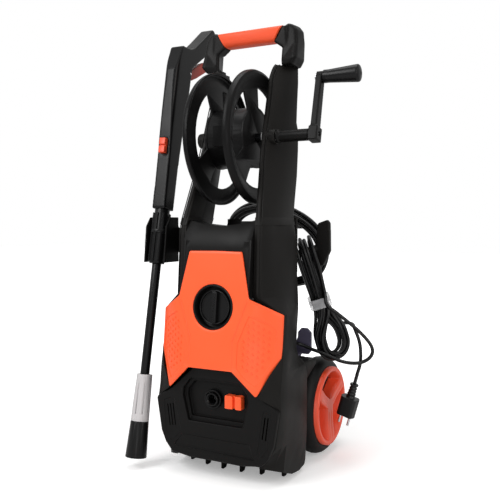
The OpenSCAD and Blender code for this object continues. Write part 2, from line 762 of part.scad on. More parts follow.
crank_lean = 14;
sleeve_from = boss_end + 1;
arm_t = 12;

// Moves to the crank's hub, with y along the arm and z along +x
module at_crank() {
    translate([0, reel_y, reel_z]) rotate([-crank_lean, 0, 0]) rotate([90, 0, 90]) children();
}

module crank_arm() {
    color(black) place() at_crank()
        difference() {
            union() {
                translate([0, 0, sleeve_from]) cylinder(r = shaft_r + 5, h = 4);
                translate([0, 0, sleeve_from]) cylinder(r = shaft_r + 3, h = crank_x - sleeve_from);
                translate([-12, -13, crank_x - 9]) cube([24, 26, 18]);
                // the arm, wider at the hub
                translate([0, 0, crank_x - arm_t / 2]) linear_extrude(arm_t)
                    polygon([[-11, 0], [11, 0], [9, crank_len], [6, crank_len + 9], [-6, crank_len + 9], [-9, crank_len]]);
            }
            translate([0, 0, 60]) cylinder(r = shaft_r + 0.02, h = shaft_to + 0.5 - 60);
            translate([0, 0, 60]) cylinder(r = 2.6, h = 160);
            translate([0, 0, crank_x + 3]) cylinder(r = 4.6, h = 20);
            translate([0, crank_len, crank_x - 40]) cylinder(r = pin_r, h = 80);
        }
}

pin_r = 4;

module crank_screw() {
    color(steel) place() at_crank() {
        translate([0, 0, shaft_to + 1]) cylinder(r = 2.5, h = crank_x + 3 - shaft_to);
        translate([0, 0, crank_x + 3 + touch]) cylinder(r = 4.3, h = 3);
    }
}

module crank_pin() {
    color(steel) place() at_crank() translate([0, crank_len, crank_x - arm_t / 2]) {
        cylinder(r = pin_r, h = crank_end - crank_x + arm_t / 2 - 6);
        translate([0, 0, -2.5]) cylinder(r = pin_r + 3, h = 2.5);
    }
}

module crank_grip() {
    from = crank_x + arm_t / 2 + touch;
    len_ = crank_end - from;
    color(black) place() at_crank() translate([0, crank_len, from])
        difference() {
            rotate_extrude($fn = 48)
                polygon(concat([[0, 0], [10.5, 0], [12, 1.5], [crank_grip_r - 4, 12]],
                    corner([crank_grip_r - 4, 12], [crank_grip_r, len_ - 5], [0, len_], 4, 4), [[0, len_]]));
            translate([0, 0, -eps]) cylinder(r = pin_r + running, h = len_ - 5.5 + eps);
        }
}

// ---- switch ----
knob_t = 10;                       // thickness of the knob
cup_floor = -knob_sink - 5;
module switch_knob() {
    color(soft_black) place() at_knob()
        difference() {
            union() {
                translate([0, 0, -knob_sink - knob_t]) cylinder(r = knob_r, h = knob_t);
                intersection() {
                    translate([-5.5, -knob_r, cup_floor - 1]) cube([11, 2 * knob_r, ridge_h + 1]);
                    translate([0, 0, cup_floor - 1]) cylinder(r = knob_r, h = ridge_h + 1);
                }
                translate([0, 0, -28]) cylinder(r = 5, h = 28 - knob_sink - knob_t + 1);
            }
            // cup on both sides of the ridge
            translate([0, 0, cup_floor]) difference() {
                cylinder(r = knob_r - 3, h = 20);
                translate([-5.5, -knob_r, -1]) cube([11, 2 * knob_r, 22]);
            }
        }
}

module switch_body() {
    color(light_grey) place() at_knob()
        difference() {
            translate([-22, -22, -40]) cube([44, 44, 17]);
            translate([0, 0, -36]) cylinder(r = 5 + running, h = 30);
        }
}

// ---- outlet and inlet ----
outlet_x = -10;
outlet_tail_r = 9;
outlet_front = -241;

module outlet_socket() {
    color(soft_black) place() translate([outlet_x, 0, outlet_z])
        difference() {
            union() {
                y_rod(outlet_front, recess_floor - outlet_front, outlet_r);
                y_rod(recess_floor - 1, manifold_front - recess_floor + 1, outlet_tail_r);
            }
            y_rod(outlet_front - eps, 30, outlet_bore_r);
        }
}

latch_from = 19;
latch_w = 33.5;
latch_h = 24.5;

module outlet_latch() {
    z0 = outlet_z - latch_h / 2;
    color(orange) place()
        difference() {
            translate([latch_from, -240, z0]) cube([latch_w, 240 + recess_floor - touch, latch_h]);
            translate([latch_from + 15.7, -240 - eps, z0 - eps]) cube([5.6, 8, latch_h + 2 * eps]);
        }
}

inlet_x = 40;
inlet_z = 140;
inlet_pipe_r = 10;
inlet_end = box_rear + 22;
pump_x = 0;
pump_y = -160;
pump_r = 40;

module water_inlet() {
    pipe_from = -body_back - 14;
    color(brass) place() translate([inlet_x, 0, inlet_z])
        difference() {
            union() {
                y_rod(pipe_from, inlet_end - pipe_from, inlet_pipe_r);
                y_rod(box_rear + touch, 5, inlet_r + 5);
                y_rod(box_rear + touch, inlet_end - box_rear - touch, inlet_r);
                y_rod(pipe_from, 10, inlet_pipe_r + 3);
            }
            y_rod(inlet_end - 60, 60 + eps, 8);
        }
}

// ---- drive ----
motor_from = 214;
motor_len = 112;
motor_r = 44;
manifold_front = -204;

module at_drive() {
    translate([pump_x, pump_y, 0]) children();
}

module motor() {
    color(alloy) place() at_drive()
        difference() {
            union() {
                translate([0, 0, motor_from]) cylinder(r = motor_r, h = motor_len);
                translate([0, 0, motor_from]) cylinder(r = motor_r + 6, h = 6);
                translate([0, 0, motor_from + motor_len]) cylinder(r = 20, h = 8);
            }
            translate([0, 0, motor_from - eps]) cylinder(r = shaft_r + running, h = motor_len + 20);
        }
}

fan_z = motor_from + motor_len + 10;

module rotor_shaft() {
    color(steel) place() at_drive()
        translate([0, 0, motor_from - 18]) cylinder(r = shaft_r, h = fan_z + 16 - motor_from + 18);
}

module cooling_fan() {
    color(light_grey) place() at_drive() translate([0, 0, fan_z])
        difference() {
            union() {
                cylinder(r = 40, h = 2);
                cylinder(r = 14, h = 14);
                for (a = [0:45:315]) rotate([0, 0, a]) translate([12, -1, 0]) cube([27, 2, 13]);
            }
            translate([0, 0, -eps]) cylinder(r = shaft_r + 0.02, h = 20);
        }
}

swash_z = motor_from - 16;

module swash_plate() {
    color(steel) place() at_drive()
        difference() {
            translate([0, 0, swash_z]) cylinder(r = 32, h = 14);
            // sloping underside that drives the pistons
            translate([0, 0, swash_z - 2]) rotate([0, 7, 0]) translate([-50, -50, -14]) cube([100, 100, 16]);
            translate([0, 0, swash_z - 20]) cylinder(r = shaft_r + 0.02, h = 60);
        }
}

pump_from = 112;

module pump_head() {
    color(alloy) place() at_drive()
        difference() {
            translate([0, 0, pump_from]) cylinder(r = pump_r, h = motor_from - pump_from - touch / 3);
            translate([0, 0, swash_z - 14]) cylinder(r = pump_r - 6, h = 60);
            translate([0, 0, swash_z - 40]) cylinder(r = shaft_r + 1, h = 60);
        }
}

module pump_manifold() {
    color(brass) place()
        difference() {
            translate([-30, manifold_front, 124]) cube([60, 30, 46]);
            at_drive() translate([0, 0, 100]) cylinder(r = pump_r + 0.1, h = 90);
        }
}

capacitor_r = 16;
module capacitor() {
    color(light_grey) place() at_drive() rotate([0, 0, -23])
        translate([motor_r + capacitor_r + touch, 0, 230]) cylinder(r = capacitor_r, h = 60);
}

// ---- gun and lance ----
lance_tip = [-172, -249.3, 20];
lance_swing = 0.5;
// Moves to the nozzle's tip, with z up along the lance
module at_lance() {
    translate(lance_tip) rotate([-lance_lean, lance_swing, 0]) children();
}

nozzle_top = 69;
collar_top = 158;
adapter_from = 376;
barrel_from = 485;
gun_top = 833;
// Side view of the gun: [back from the lance's axis, along the lance]
gun_outline = concat([[18, barrel_from], [20, 600], [26, 690], [32, 740], [33, 792], [42, 802], [77, 835], [99, 869]],
    corner([99, 869], [113, 899], [98, 910], 8, 3),
    corner([113, 899], [98, 910], [57, 863], 8, 3),
    [[57, 863], [33, 837], [22, 831], [10, 828]],
    corner([10, 828], [-10, 826], [-24, 796], 8, 4),
    [[-25, 770], [-25, 740], [-23.5, 700], [-20.5, 645], [-17.5, 600], [-16, barrel_from]]);
trigger_pivot = [30, 780];

module gun_side(width) {
    side_slab(-width / 2, width) children();
}

module gun_shell() {
    color(black) place() at_lance()
        difference() {
            intersection() {
                gun_side(gun_w) polygon(gun_outline);
                translate([0, 0, barrel_from]) linear_extrude(500)
                    polygon(rounded([[-gun_w / 2, -25.5], [gun_w / 2, -25.5], [gun_w / 2, 140], [-gun_w / 2, 140]], 10, 5));
            }
            // slot for the trigger
            gun_side(trigger_w + 1) polygon([[20, 766], [44, 764], [60, 790], [110, 838], [98, 856], [78, 850],
                [40, 818], [20, 796]]);
            gun_side(gun_w + 4) translate(trigger_pivot) circle(r = 2.5 + 0.02);
            // seat of the slider
            translate([-7.3, -24, slider_z - slider_h / 2 - slider_travel - touch])
                cube([14.6, 7.3, slider_h + slider_travel + 2 * touch]);
            // seat of the adapter
            translate([0, 0, barrel_from - eps]) cylinder(r = 12.1, h = 21);
        }
}

trigger_blade = [[24, 776], [30, 774], [48, 773], [66, 785], [98, 810], [102, 824], [94, 832], [78, 823], [44, 794],
    [26, 786]];

module gun_trigger() {
    color(trigger_red) place() at_lance()
        difference() {
            gun_side(trigger_w) polygon(trigger_blade);
            gun_side(trigger_w + 2) translate(trigger_pivot) circle(r = 2.5 + running);
        }
}

module trigger_pin() {
    color(steel) place() at_lance() gun_side(gun_w - 1) translate(trigger_pivot) circle(r = 2.5);
}

slider_z = 612;
slider_h = 30;

module gun_slider() {
    color(orange) place() at_lance()
        translate([-7, -27, slider_z - slider_h / 2])
            difference() {
                cube([14, 10, slider_h]);
                translate([-eps, -eps, slider_h / 2 - 1.5]) cube([16, 5, 3]);
            }
}

module lance_adapter() {
    color(soft_black) place() at_lance()
        difference() {
            union() {
                translate([0, 0, adapter_from]) cylinder(r = 15, h = barrel_from - adapter_from - 0.2);
                translate([0, 0, adapter_from]) cylinder(r = 12, h = barrel_from - adapter_from + 19);
                for (a = [0:45:315]) rotate([0, 0, a])
                    translate([13, -2, adapter_from + 4]) cube([5, 4, barrel_from - adapter_from - 12]);
                translate([0, 0, 436]) cylinder(r = 18.5, h = 7);
            }
            translate([0, 0, adapter_from - eps]) cylinder(r = tube_r + 0.02, h = 61);
        }
}

module lance_tube() {
    color(soft_black) place() at_lance()
        translate([0, 0, nozzle_top + 20])
            difference() {
                cylinder(r = tube_r, h = adapter_from + 59 - nozzle_top - 20);
                translate([0, 0, -eps]) cylinder(r = tube_r - 3, h = 500);
            }
}

module nozzle_collar() {
    color(light_grey) place() at_lance()
        difference() {
            translate([0, 0, nozzle_top]) cylinder(r1 = 17.5, r2 = 15, h = collar_top - nozzle_top);
            for (a = [0:45:315]) rotate([0, 0, a])
                translate([14.6, -1.4, nozzle_top + 14]) cube([4, 2.8, 58]);
            translate([0, 0, nozzle_top - eps]) cylinder(r = tube_r + running, h = 100);
        }
}

module nozzle_tip() {
    color(soft_black) place() at_lance()
        difference() {
            union() {
                cylinder(r1 = nozzle_r, r2 = 17.5, h = nozzle_top);
                translate([0, 0, nozzle_top - 1]) cylinder(r = tube_r - 0.02, h = 19);
            }
            translate([0, 0, -eps]) cylinder(r = nozzle_r - 5, h = 22);
            translate([0, 0, -eps]) cylinder(r = 3, h = 60);
        }
}

// ---- clip and hooks ----
clip_gap = 21.5;      // half width between the clip's wings
clip_x = clip_gap + 4 - clip_edge;
clip_back = -141;
clip_from = 392;
clip_to = 482;

module lance_clip() {
    color(soft_black) place() {
        // back of the channel
        translate([clip_x - clip_gap - 4, clip_back - 4, clip_from]) cube([2 * clip_gap + 8, 4, clip_to - clip_from]);
        // wings, open to the front, with chamfered top corners
        for (side = [[clip_x - clip_gap - 4, 4], [clip_x + clip_gap, 4]])
            side_slab(side[0], side[1])
                polygon([[clip_back - 1, clip_from], [clip_back - 1, clip_to], [clip_back - 29, clip_to],
                    [clip_back - 43, clip_to - 18], [clip_back - 51, clip_from], [clip_back - 20, clip_from]]);
        // arm to the body
        side_slab(clip_x - 10, -side_wall_x - touch - clip_x + 10)
            polygon([[clip_back, 412], [clip_back + 14, 418], [clip_back + 14, 452], [clip_back, 462]]);
    }
}
// Outer face of the body beside the clip
side_wall_x = 103.1;

hook_in_x = 54;       // inner edge of the hook's plate
hook_out_x = 100;
saddle_r = 8;
saddle_len = 64;
paddle_back = -36;
paddle_outline = [[120, 470], [140, 477], [145, 470], [146, 415], [132, 387], [126, 387], [118, 400], [116, 436]];

module cable_hook_upper() {
    plate_y = -body_back + wall + touch;
    foot = hank_bottom + (hank_long - fold_top + 4) * hank_up - 38 * hank_right;
    color(black) place() {
        // plate on the back of the body
        translate([hook_in_x, plate_y, 374]) cube([hook_out_x - hook_in_x, 5, 108]);
        // arm to the saddle
        translate([foot.x - 4, plate_y + 4, foot.z - 8]) cube([9, foot.y - plate_y, 16]);
        // the saddle follows the way through the hank's upper fold
        translate(foot) rotate([0, acos(hank_right.z), atan2(hank_right.y, hank_right.x)])
            cylinder(r = saddle_r, h = saddle_len);
        front_slab(paddle_back, 10) polygon(paddle_outline);
    }
}

module cable_hook_lower() {
    low = max(2 * wheel_r + 10, deck_z + 6);
    octagon = [[74, low + 8], [80, low], [98, low], [104, low + 8], [104, low + 44], [96, low + 53],
        [82, low + 53], [74, low + 44]];
    color(hook_grey) place() {
        front_slab(-32, 5) polygon(octagon);
        // foot on the deck
        translate([62, -50, deck_foot]) cube([18, 20, 6]);
        front_slab(-32, 5) polygon([[62, deck_foot], [80, deck_foot], [84, low + 8], [84, low + 34], [74, low + 34],
            [62, low + 6]]);
    }
}
// Height of the deck's top behind its bend, where the lower hook stands
deck_foot = deck_z + touch;

peg_x = 38;
peg_z = 466.2;
peg_r = 8;
peg_end = 54;

module hose_hooks() {
    color(black) place()
        both() {
            // the peg rises from the rear cover and carries the coil
            translate([peg_x, 0, peg_z]) y_rod(-body_back + wall + touch, body_back + peg_end - wall - touch, peg_r);
            translate([peg_x - 14, -body_back + wall + touch, peg_z - 40]) cube([28, 6, 52]);
            translate([peg_x - 9, peg_end - 5, peg_z - 8]) cube([18, 5, 30]);
        }
}

// ---- power cord ----
gland_x = 78;
gland_z = 232;
gland_len = 30;
gland_end = -body_back + wall + touch + gland_len;

module cord_gland() {
    color(soft_black) place() translate([gland_x, 0, gland_z])
        difference() {
            union() {
                y_rod(-body_back + wall + touch, 5, 11);
                translate([0, -body_back + wall + touch, 0]) rotate([-90, 0, 0]) cylinder(r1 = 8, r2 = 5.2, h = gland_len);
            }
            y_rod(gland_end - 12, 13, cord_d / 2);
        }
}

// A closed tube along a line of points, with rings of k sides
function tube_frames(line) =
    [for (i = [0:len(line) - 1])
        unit(line[min(i + 1, len(line) - 1)] - line[max(i - 1, 0)])];
function carried(frames, i, v) = i == 0 ? v : let (w = carried(frames, i - 1, v)) unit(w - (w * frames[i]) * frames[i]);
function carried_all(frames, i, v, out) =
    i == len(frames) ? out
    : let (w = unit(v - (v * frames[i]) * frames[i])) carried_all(frames, i + 1, w, concat(out, [w]));
module tube(line, r, k) {
    frames = tube_frames(line);
    sides = carried_all(frames, 0, abs(frames[0].z) < 0.9 ? [0, 0, 1] : [1, 0, 0], []);
    loft([for (i = [0:len(line) - 1])
        let (u = sides[i], v = cross(frames[i], u))
        [for (j = [0:k - 1]) line[i] + r * (cos(360 * j / k) * u + sin(360 * j / k) * v)]]);
}
// A smooth line through hand-set points, n steps between two of them
function spline(p, n) =
    let (k = len(p), q = concat([2 * p[0] - p[1]], p, [2 * p[k - 1] - p[k - 2]]))
    concat([for (i = [1:k - 1], j = [0:n - 1])
        let (t = j / n, a = q[i - 1], b = q[i], c = q[i + 1], d = q[i + 2])
        0.5 * (2 * b + (c - a) * t + (2 * a - 5 * b + 4 * c - d) * t * t + (3 * b - a - 3 * c + d) * t * t * t)],
        [p[k - 1]]);

// The hank of the power cord hangs from the upper hook and is drawn in at the tie
hank_top = [88, -56, 440];
hank_bottom = [145, 2, 195];
hank_up = unit(hank_top - hank_bottom);
hank_right = unit([0.888, 0.46, 0] - ([0.888, 0.46, 0] * hank_up) * hank_up);
hank_away = cross(hank_up, hank_right);
hank_long = norm(hank_top - hank_bottom);
fold_top = 33;        // radius of the outer loop's upper fold
fold_bottom = 36;     // radius of the outer loop's lower fold
waist_at = 0.48;       // place of the tie between the folds, from below
hank_turns = 7.5;
hank_start = -0.2;
function smooth(t) = let (s = min(1, max(0, t))) s * s * (3 - 2 * s);
// Loops go 0, 1, 2, 1, 0 steps inwards and climb a layer where they turn
function fold_in(t) = let (s = (t + 0.25) % 4) s < 2 ? s : 4 - s;
function layer_at(t) = let (s = t + 0.25, n = floor(s / 2 + 0.5), u = (s - 2 * n) / 0.5)
    n < 1 ? 0 : n > 3 ? 3 : n - 1 + smooth((u + 1) / 2);
// A point of the hank at turn t: 0 at the top fold, then down the back run and up the front run
function hank_point(t) =
    let (f = t - floor(t), inwards = fold_in(t) * hank_step,
        rt = fold_top - inwards, rb = fold_bottom - inwards,
        span = hank_long - fold_top - fold_bottom,
        run = f < 0.5 ? (f - 0.11) / 0.28 : (0.89 - f) / 0.28,
        top_fold = f < 0.11 || f > 0.89, bottom_fold = f > 0.39 && f < 0.61,
        turn_t = (f < 0.5 ? f : f - 1) / 0.11 * 90,
        turn_b = (f - 0.5) / 0.11 * 90,
        along = top_fold ? fold_bottom + span + rt * cos(turn_t)
            : bottom_fold ? fold_bottom - rb * cos(turn_b)
            : fold_bottom + span * (1 - run),
        h = along / hank_long,
        waist = 2.2 * hank_step - inwards,
        width = top_fold ? rt * sin(turn_t)
            : bottom_fold ? -rb * sin(turn_b)
            : sign(0.5 - f) * lerp(waist, h > waist_at ? rt : rb,
                smooth(abs(h - waist_at) / (h > waist_at ? 0.36 : 0.28))),
        turned = 90 - 62 * smooth((0.5 - h) / 0.32),
        spread = lerp(1, 1.15, smooth((h - waist_at) / 0.3)),
        lay = (layer_at(t) - 1.5) * hank_step * 1.06 * spread,
        fan = -2 * (fold_in(t) - 1) * smooth((h - waist_at) / 0.3),
        across = width * cos(turned) - lay * sin(turned) + fan,
        deep = width * sin(turned) + lay * cos(turned))
    hank_bottom + along * hank_up + across * hank_right + deep * hank_away;
hank_rings = 24;
hank_loops = [for (i = [0:hank_rings * hank_turns]) hank_point(hank_start + i / hank_rings)];
// A line with a straight end of one diameter added at both ends
function straight_ends(line, d) =
    let (k = len(line))
    concat([line[0] + d * unit(line[0] - line[1])], line, [line[k - 1] + d * unit(line[k - 1] - line[k - 2])]);
hank_line = straight_ends(hank_loops, cord_d);

// Least distance between two stretches of a line that aren't neighbours, less the tube's diameter
function own_gap(line, skip, d) =
    min([for (i = [0:len(line) - 1])
        min(concat([1000], [for (j = [i + skip:len(line) - 2])
            segment_gap(line[i], line[j], line[j + 1])]))]) - d;
function segment_gap(p, a, b) =
    let (ab = b - a, t = min(1, max(0, (p - a) * ab / (ab * ab)))) norm(p - a - t * ab);
function long(line) = len(line) < 2 ? 0 : sum([for (i = [1:len(line) - 1]) norm(line[i] - line[i - 1])]);
function sum(v) = len(v) == 0 ? 0 : v * [for (x = v) 1];
echo(hank_gap = own_gap(hank_line, 8, cord_d), hank_length = long(hank_line));
echo(hank_first = hank_line[0], hank_second = hank_line[1], hank_last = hank_line[len(hank_line) - 1],
    hank_before = hank_line[len(hank_line) - 2]);

module cord_hank() {
    color(soft_black) place() tube(hank_line, cord_d / 2, 6);
}

plug_at = [189, -19, 153];
plug_tilt = 16;
plug_up = [sin(plug_tilt), 0, cos(plug_tilt)];
// From the gland, in front of the hank, round in a wide loop and back up to the hank
lead_route = [[78, -71, 232], [78, -63, 231], [82, -52, 229], [92, -46, 225], [108, -44, 219], [125, -42, 214],
    [145, -40, 207], [165, -38, 200], [185, -35, 197], [205, -32, 199], [221, -30, 208], [228, -29, 220],
    [226, -30, 233], [216, -34, 248], [200, -40, 265], [182, -47, 281], [163, -54, 297], [146, -61, 312]];
// From the hank down to the plug
plug_route = [[110, 22, 266], [124, 38, 262], [148, 42, 263], [170, 22, 265], [185, -8, 260], [198, -20, 240], [202, -22, 220], [201, -21, 195], [195, -20, 174]];
function last(line) = line[len(line) - 1];
function end_way(line) = unit(last(line) - line[len(line) - 2]);
lead_end = hank_line[0];
lead_way = unit(hank_line[1] - hank_line[0]);
lead_line = concat(spline(concat(lead_route, [lead_end - 14 * lead_way]), 2), [lead_end - 7 * lead_way, lead_end]);
plug_line = concat([last(hank_line), last(hank_line) + 7 * end_way(hank_line)],
    spline(concat([last(hank_line) + 14 * end_way(hank_line)], plug_route), 3), [plug_at + 8 * plug_up, plug_at]);

module power_lead() {
    color(soft_black) place() tube(lead_line, cord_d / 2, 8);
}

module plug_lead() {
    color(soft_black) place() tube(plug_line, cord_d / 2, 8);
}

tie_at = waist_at * hank_long;
module cord_tie() {
    color([0.85, 0.87, 0.88]) place()
        multmatrix([[hank_right.x, hank_away.x, hank_up.x, hank_bottom.x],
            [hank_right.y, hank_away.y, hank_up.y, hank_bottom.y],
            [hank_right.z, hank_away.z, hank_up.z, hank_bottom.z], [0, 0, 0, 1]])
        translate([0, 0, tie_at - 9]) difference() {
            linear_extrude(20) polygon(rounded([[-22, -24], [22, -24], [22, 24], [-22, 24]], 8, 4));
            translate([0, 0, -1]) linear_extrude(22) polygon(rounded([[-21, -23], [21, -23], [21, 23], [-21, 23]], 7, 4));
        }
}

// Moves to the plug's collar, with z down towards the pins
module at_plug() {
    translate(plug_at) rotate([180, plug_tilt, 0]) children();
}

plug_neck = 28;       // length of the plug's bend protector
plug_len = 38;        // length of the plug's body

module plug_body() {
    color(soft_black) place() at_plug() {
        difference() {
            union() {
                cylinder(r = 8.5, h = 4);
                translate([0, 0, 3]) cylinder(r1 = 6, r2 = 8.5, h = plug_neck);
                for (z = [8:6:26]) translate([0, 0, z]) cylinder(r = 7.2 + z / 14, h = 2.5);
                translate([0, 0, plug_neck + 1]) linear_extrude(plug_len)
                    polygon(rounded([[-15, -14], [15, -14], [19, 0], [15, 14], [-15, 14], [-19, 0]], 5, 3));
            }
            translate([0, 0, -eps]) cylinder(r = cord_d / 2, h = 6);
        }
    }
}

module plug_pins() {
    color(steel) place() at_plug()
        for (x = [-9.5, 9.5]) translate([x, 0, plug_neck + plug_len + 1.05]) cylinder(r = 2.4, h = 19);
}

// ---- hose ----
// The coil is an oval that hangs lower on the right
hose_mid = [0, 14, 426];
hose_a = 124;
hose_b = 82;
hose_tilt = -18;
hose_start = 0.35;
hose_turns = 6.73;
hose_rings = 24;
function hose_in(t) = let (s = t % 4) s < 2 ? s : 4 - s;
function hose_layer(t) = smooth((t - 1.75) / 0.5) + smooth((t - 3.75) / 0.5) + smooth((t - 5.75) / 0.5);
// Both ends leave the coil in their last part of a turn
function hose_leave(t) = 1.7 * smooth(1 - (hose_start + hose_turns - t) / 0.3) - 1.7 * smooth(1 - (t - hose_start) / 0.3);
function hose_point(t) =
    let (a = hose_a - hose_in(t) * hose_step, b = hose_b - hose_in(t) * hose_step,
        c = cos(360 * t + 90), s = sin(360 * t + 90), u = a * sign(c) * pow(abs(c), 0.92), v = b * sign(s) * pow(abs(s), 0.92))
    hose_mid + [u * cos(hose_tilt) - v * sin(hose_tilt), (hose_layer(t) - 1.5 + hose_leave(t)) * hose_step,
        u * sin(hose_tilt) + v * cos(hose_tilt)];
hose_line = straight_ends([for (i = [0:hose_rings * hose_turns]) hose_point(hose_start + i / hose_rings)], hose_d);
echo(hose_gap = own_gap(hose_line, 8, hose_d), hose_length = long(hose_line));
echo(hose_first = hose_line[0], hose_second = hose_line[1], hose_last = hose_line[len(hose_line) - 1],
    hose_before = hose_line[len(hose_line) - 2]);

module hose_coil() {
    color(soft_black) place() tube(hose_line, hose_d / 2, 6);
}

// A fitting that continues a tube's end from p in the direction v
module fitting(p, v, length, r) {
    translate(p) rotate([0, acos(v.z), atan2(v.y, v.x)]) {
        cylinder(r = hose_d / 2 + 2, h = 16);
        translate([0, 0, 15]) cylinder(r = r, h = length - 15);
    }
}

module hose_fittings() {
    k = len(hose_line);
    color(brass) place() {
        fitting(hose_line[0], unit(hose_line[0] - hose_line[1]), 42, 8.5);
        fitting(hose_line[k - 1], unit(hose_line[k - 1] - hose_line[k - 2]), 46, 9.5);
    }
}

// ---- screws ----
screw_spots = [[70, 356], [70, 215], [0, 440], [0, 215]];

module housing_screws() {
    color(steel) place()
        for (spot = screw_spots, side = spot.x > 0 ? [-1, 1] : [1])
            translate([side * spot.x, 0, spot.y]) y_rod(-body_back + wall + 0.05, 2.4, 3.5);
}

base_tub();
front_feet();
front_frame();
front_housing();
front_panel();
side_shell_left();
side_shell_right();
rear_cover();
column_left();
column_right();
handle_frame();
handle_grip();
axle();
wheel_left();
wheel_right();
wheel_cap_left();
wheel_cap_right();
reel_drum();
reel_flange_left();
reel_flange_right();
reel_shaft();
reel_bushes();
crank_arm();
crank_screw();
crank_pin();
crank_grip();
switch_knob();
switch_body();
outlet_socket();
outlet_latch();
water_inlet();
motor();
rotor_shaft();
cooling_fan();
swash_plate();
pump_head();
pump_manifold();
capacitor();
gun_shell();
gun_trigger();
trigger_pin();
gun_slider();
lance_adapter();
lance_tube();
nozzle_collar();
nozzle_tip();
lance_clip();
cable_hook_upper();
cable_hook_lower();
hose_hooks();
cord_gland();
power_lead();
cord_hank();
cord_tie();
plug_lead();
plug_body();
plug_pins();
hose_coil();
hose_fittings();
housing_screws();
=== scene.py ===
import json
import math

import bmesh
import bpy
from mathutils import Matrix, Vector, geometry


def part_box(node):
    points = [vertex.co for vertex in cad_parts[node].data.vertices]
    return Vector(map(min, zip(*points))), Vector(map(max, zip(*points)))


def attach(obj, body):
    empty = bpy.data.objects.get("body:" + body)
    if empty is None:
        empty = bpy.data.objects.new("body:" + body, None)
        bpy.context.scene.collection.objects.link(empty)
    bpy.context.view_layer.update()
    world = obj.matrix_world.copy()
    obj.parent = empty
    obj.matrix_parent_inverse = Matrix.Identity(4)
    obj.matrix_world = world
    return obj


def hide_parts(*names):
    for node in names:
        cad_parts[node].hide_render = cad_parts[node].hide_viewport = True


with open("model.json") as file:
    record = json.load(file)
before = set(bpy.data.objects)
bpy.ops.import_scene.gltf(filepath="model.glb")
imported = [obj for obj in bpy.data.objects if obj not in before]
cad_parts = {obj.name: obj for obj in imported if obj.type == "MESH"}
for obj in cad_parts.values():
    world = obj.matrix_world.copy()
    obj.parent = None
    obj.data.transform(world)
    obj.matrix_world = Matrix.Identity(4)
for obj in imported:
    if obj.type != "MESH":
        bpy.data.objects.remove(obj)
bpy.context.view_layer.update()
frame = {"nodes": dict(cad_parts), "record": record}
NODES = frame["nodes"]

# ---- sizes and places, in millimetres; x = 0 is the middle plane, y = 0 the axle, z = 0 the floor ----
MM = 0.001
SIDES = ((1, "right"), (-1, "left"))
axle_low, axle_high = (Vector(v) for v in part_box("axle"))
MIDDLE = -0.5 / MM * Vector((axle_low.x + axle_high.x, axle_low.y + axle_high.y, 0))     # the model's origin


def at(x, y, z):
    return (Vector((x, y, z)) - MIDDLE) * MM


def unit(v):
    return Vector(v).normalized()


def mix(a, b, t):
    return a + (b - a) * t


def smooth_step(t):
    s = min(1.0, max(0.0, t))
    return s * s * (3 - 2 * s)


def placed(name, data):
    """A new object in the scene, at the origin."""
    thing = bpy.data.objects.new(name, data)
    bpy.context.scene.collection.objects.link(thing)
    return thing


# ---- materials ----
FLOW_CLOUDS, GRAIN_DEEP, METAL_PATCHES, LINES_DEEP = 14.0, 0.0006, 30.0, 0.0003


def feed(tree, inputs, values):
    """Sets each named input to its value, or links it where the value is another node's socket."""
    for name, value in values.items():
        if isinstance(value, bpy.types.NodeSocket):
            tree.links.new(value, inputs[name])
        else:
            inputs[name].default_value = value


def add(tree, kind, values, **settings):
    """Adds a node to a tree and gives its outputs."""
    node = tree.nodes.new(kind)
    for name, value in settings.items():
        setattr(node, name, value)
    feed(tree, node.inputs, values)
    return node.outputs


def material_of(name):
    """A new material with its tree, its shader's inputs and the piece's own coordinates."""
    material = bpy.data.materials.new(name)
    material.use_nodes = True
    tree = material.node_tree
    return material, tree, tree.nodes["Principled BSDF"].inputs, add(tree, "ShaderNodeTexCoord", {})["Object"]


def noise(tree, place, scale, detail, rough=0.55):
    """A cloudy pattern; scale is in cycles a metre."""
    return add(tree, "ShaderNodeTexNoise", {"Vector": place, "Scale": scale, "Detail": detail,
                                            "Roughness": rough})["Fac"]


def remap(tree, source, low, high, from_low=0.3, from_high=0.7, **settings):
    """The source's usual span, or another one, stretched to run from low to high."""
    return add(tree, "ShaderNodeMapRange", {"Value": source, "From Min": from_low, "From Max": from_high,
                                            "To Min": low, "To Max": high}, **settings)["Result"]


def bump(tree, height, strength, distance):
    return add(tree, "ShaderNodeBump", {"Height": height, "Strength": strength, "Distance": distance})["Normal"]


def two_tone(tree, factor, dark, light):
    return add(tree, "ShaderNodeMix", {"Factor": factor, "A": (*dark, 1.0), "B": (*light, 1.0)},
               data_type="RGBA")["Result"]


def moulded_plastic(name, colour, rough=(0.38, 0.46), grain=900.0, depth=0.03, gloss=0.5, cloud=0.08):
    """Injection-moulded plastic: a fine spark-eroded grain, faint flow clouds and uneven gloss."""
    material, tree, shader, place = material_of(name)
    fine = noise(tree, place, grain, 2.0)
    clouds = noise(tree, place, FLOW_CLOUDS, 3.0)
    dark, light = ([min(1.0, c * (1 + part)) for c in colour] for part in (-cloud, cloud))
    feed(tree, shader, {"Base Color": two_tone(tree, clouds, dark, light), "Roughness": remap(tree, clouds, *rough),
                        "Normal": bump(tree, fine, depth, GRAIN_DEEP), "Specular IOR Level": gloss})
    return material


def worn_metal(name, colour, rough=(0.22, 0.34), scratches=240.0):
    """Turned or drawn metal with fine drawing lines and a little uneven polish."""
    material, tree, shader, place = material_of(name)
    lines = noise(tree, place, scratches, 4.0, 0.7)
    patches = noise(tree, place, METAL_PATCHES, 3.0)
    feed(tree, shader, {"Base Color": two_tone(tree, patches, [c * 0.9 for c in colour], colour),
                        "Roughness": remap(tree, lines, *rough), "Normal": bump(tree, lines, 0.05, LINES_DEEP),
                        "Metallic": 1.0})
    return material


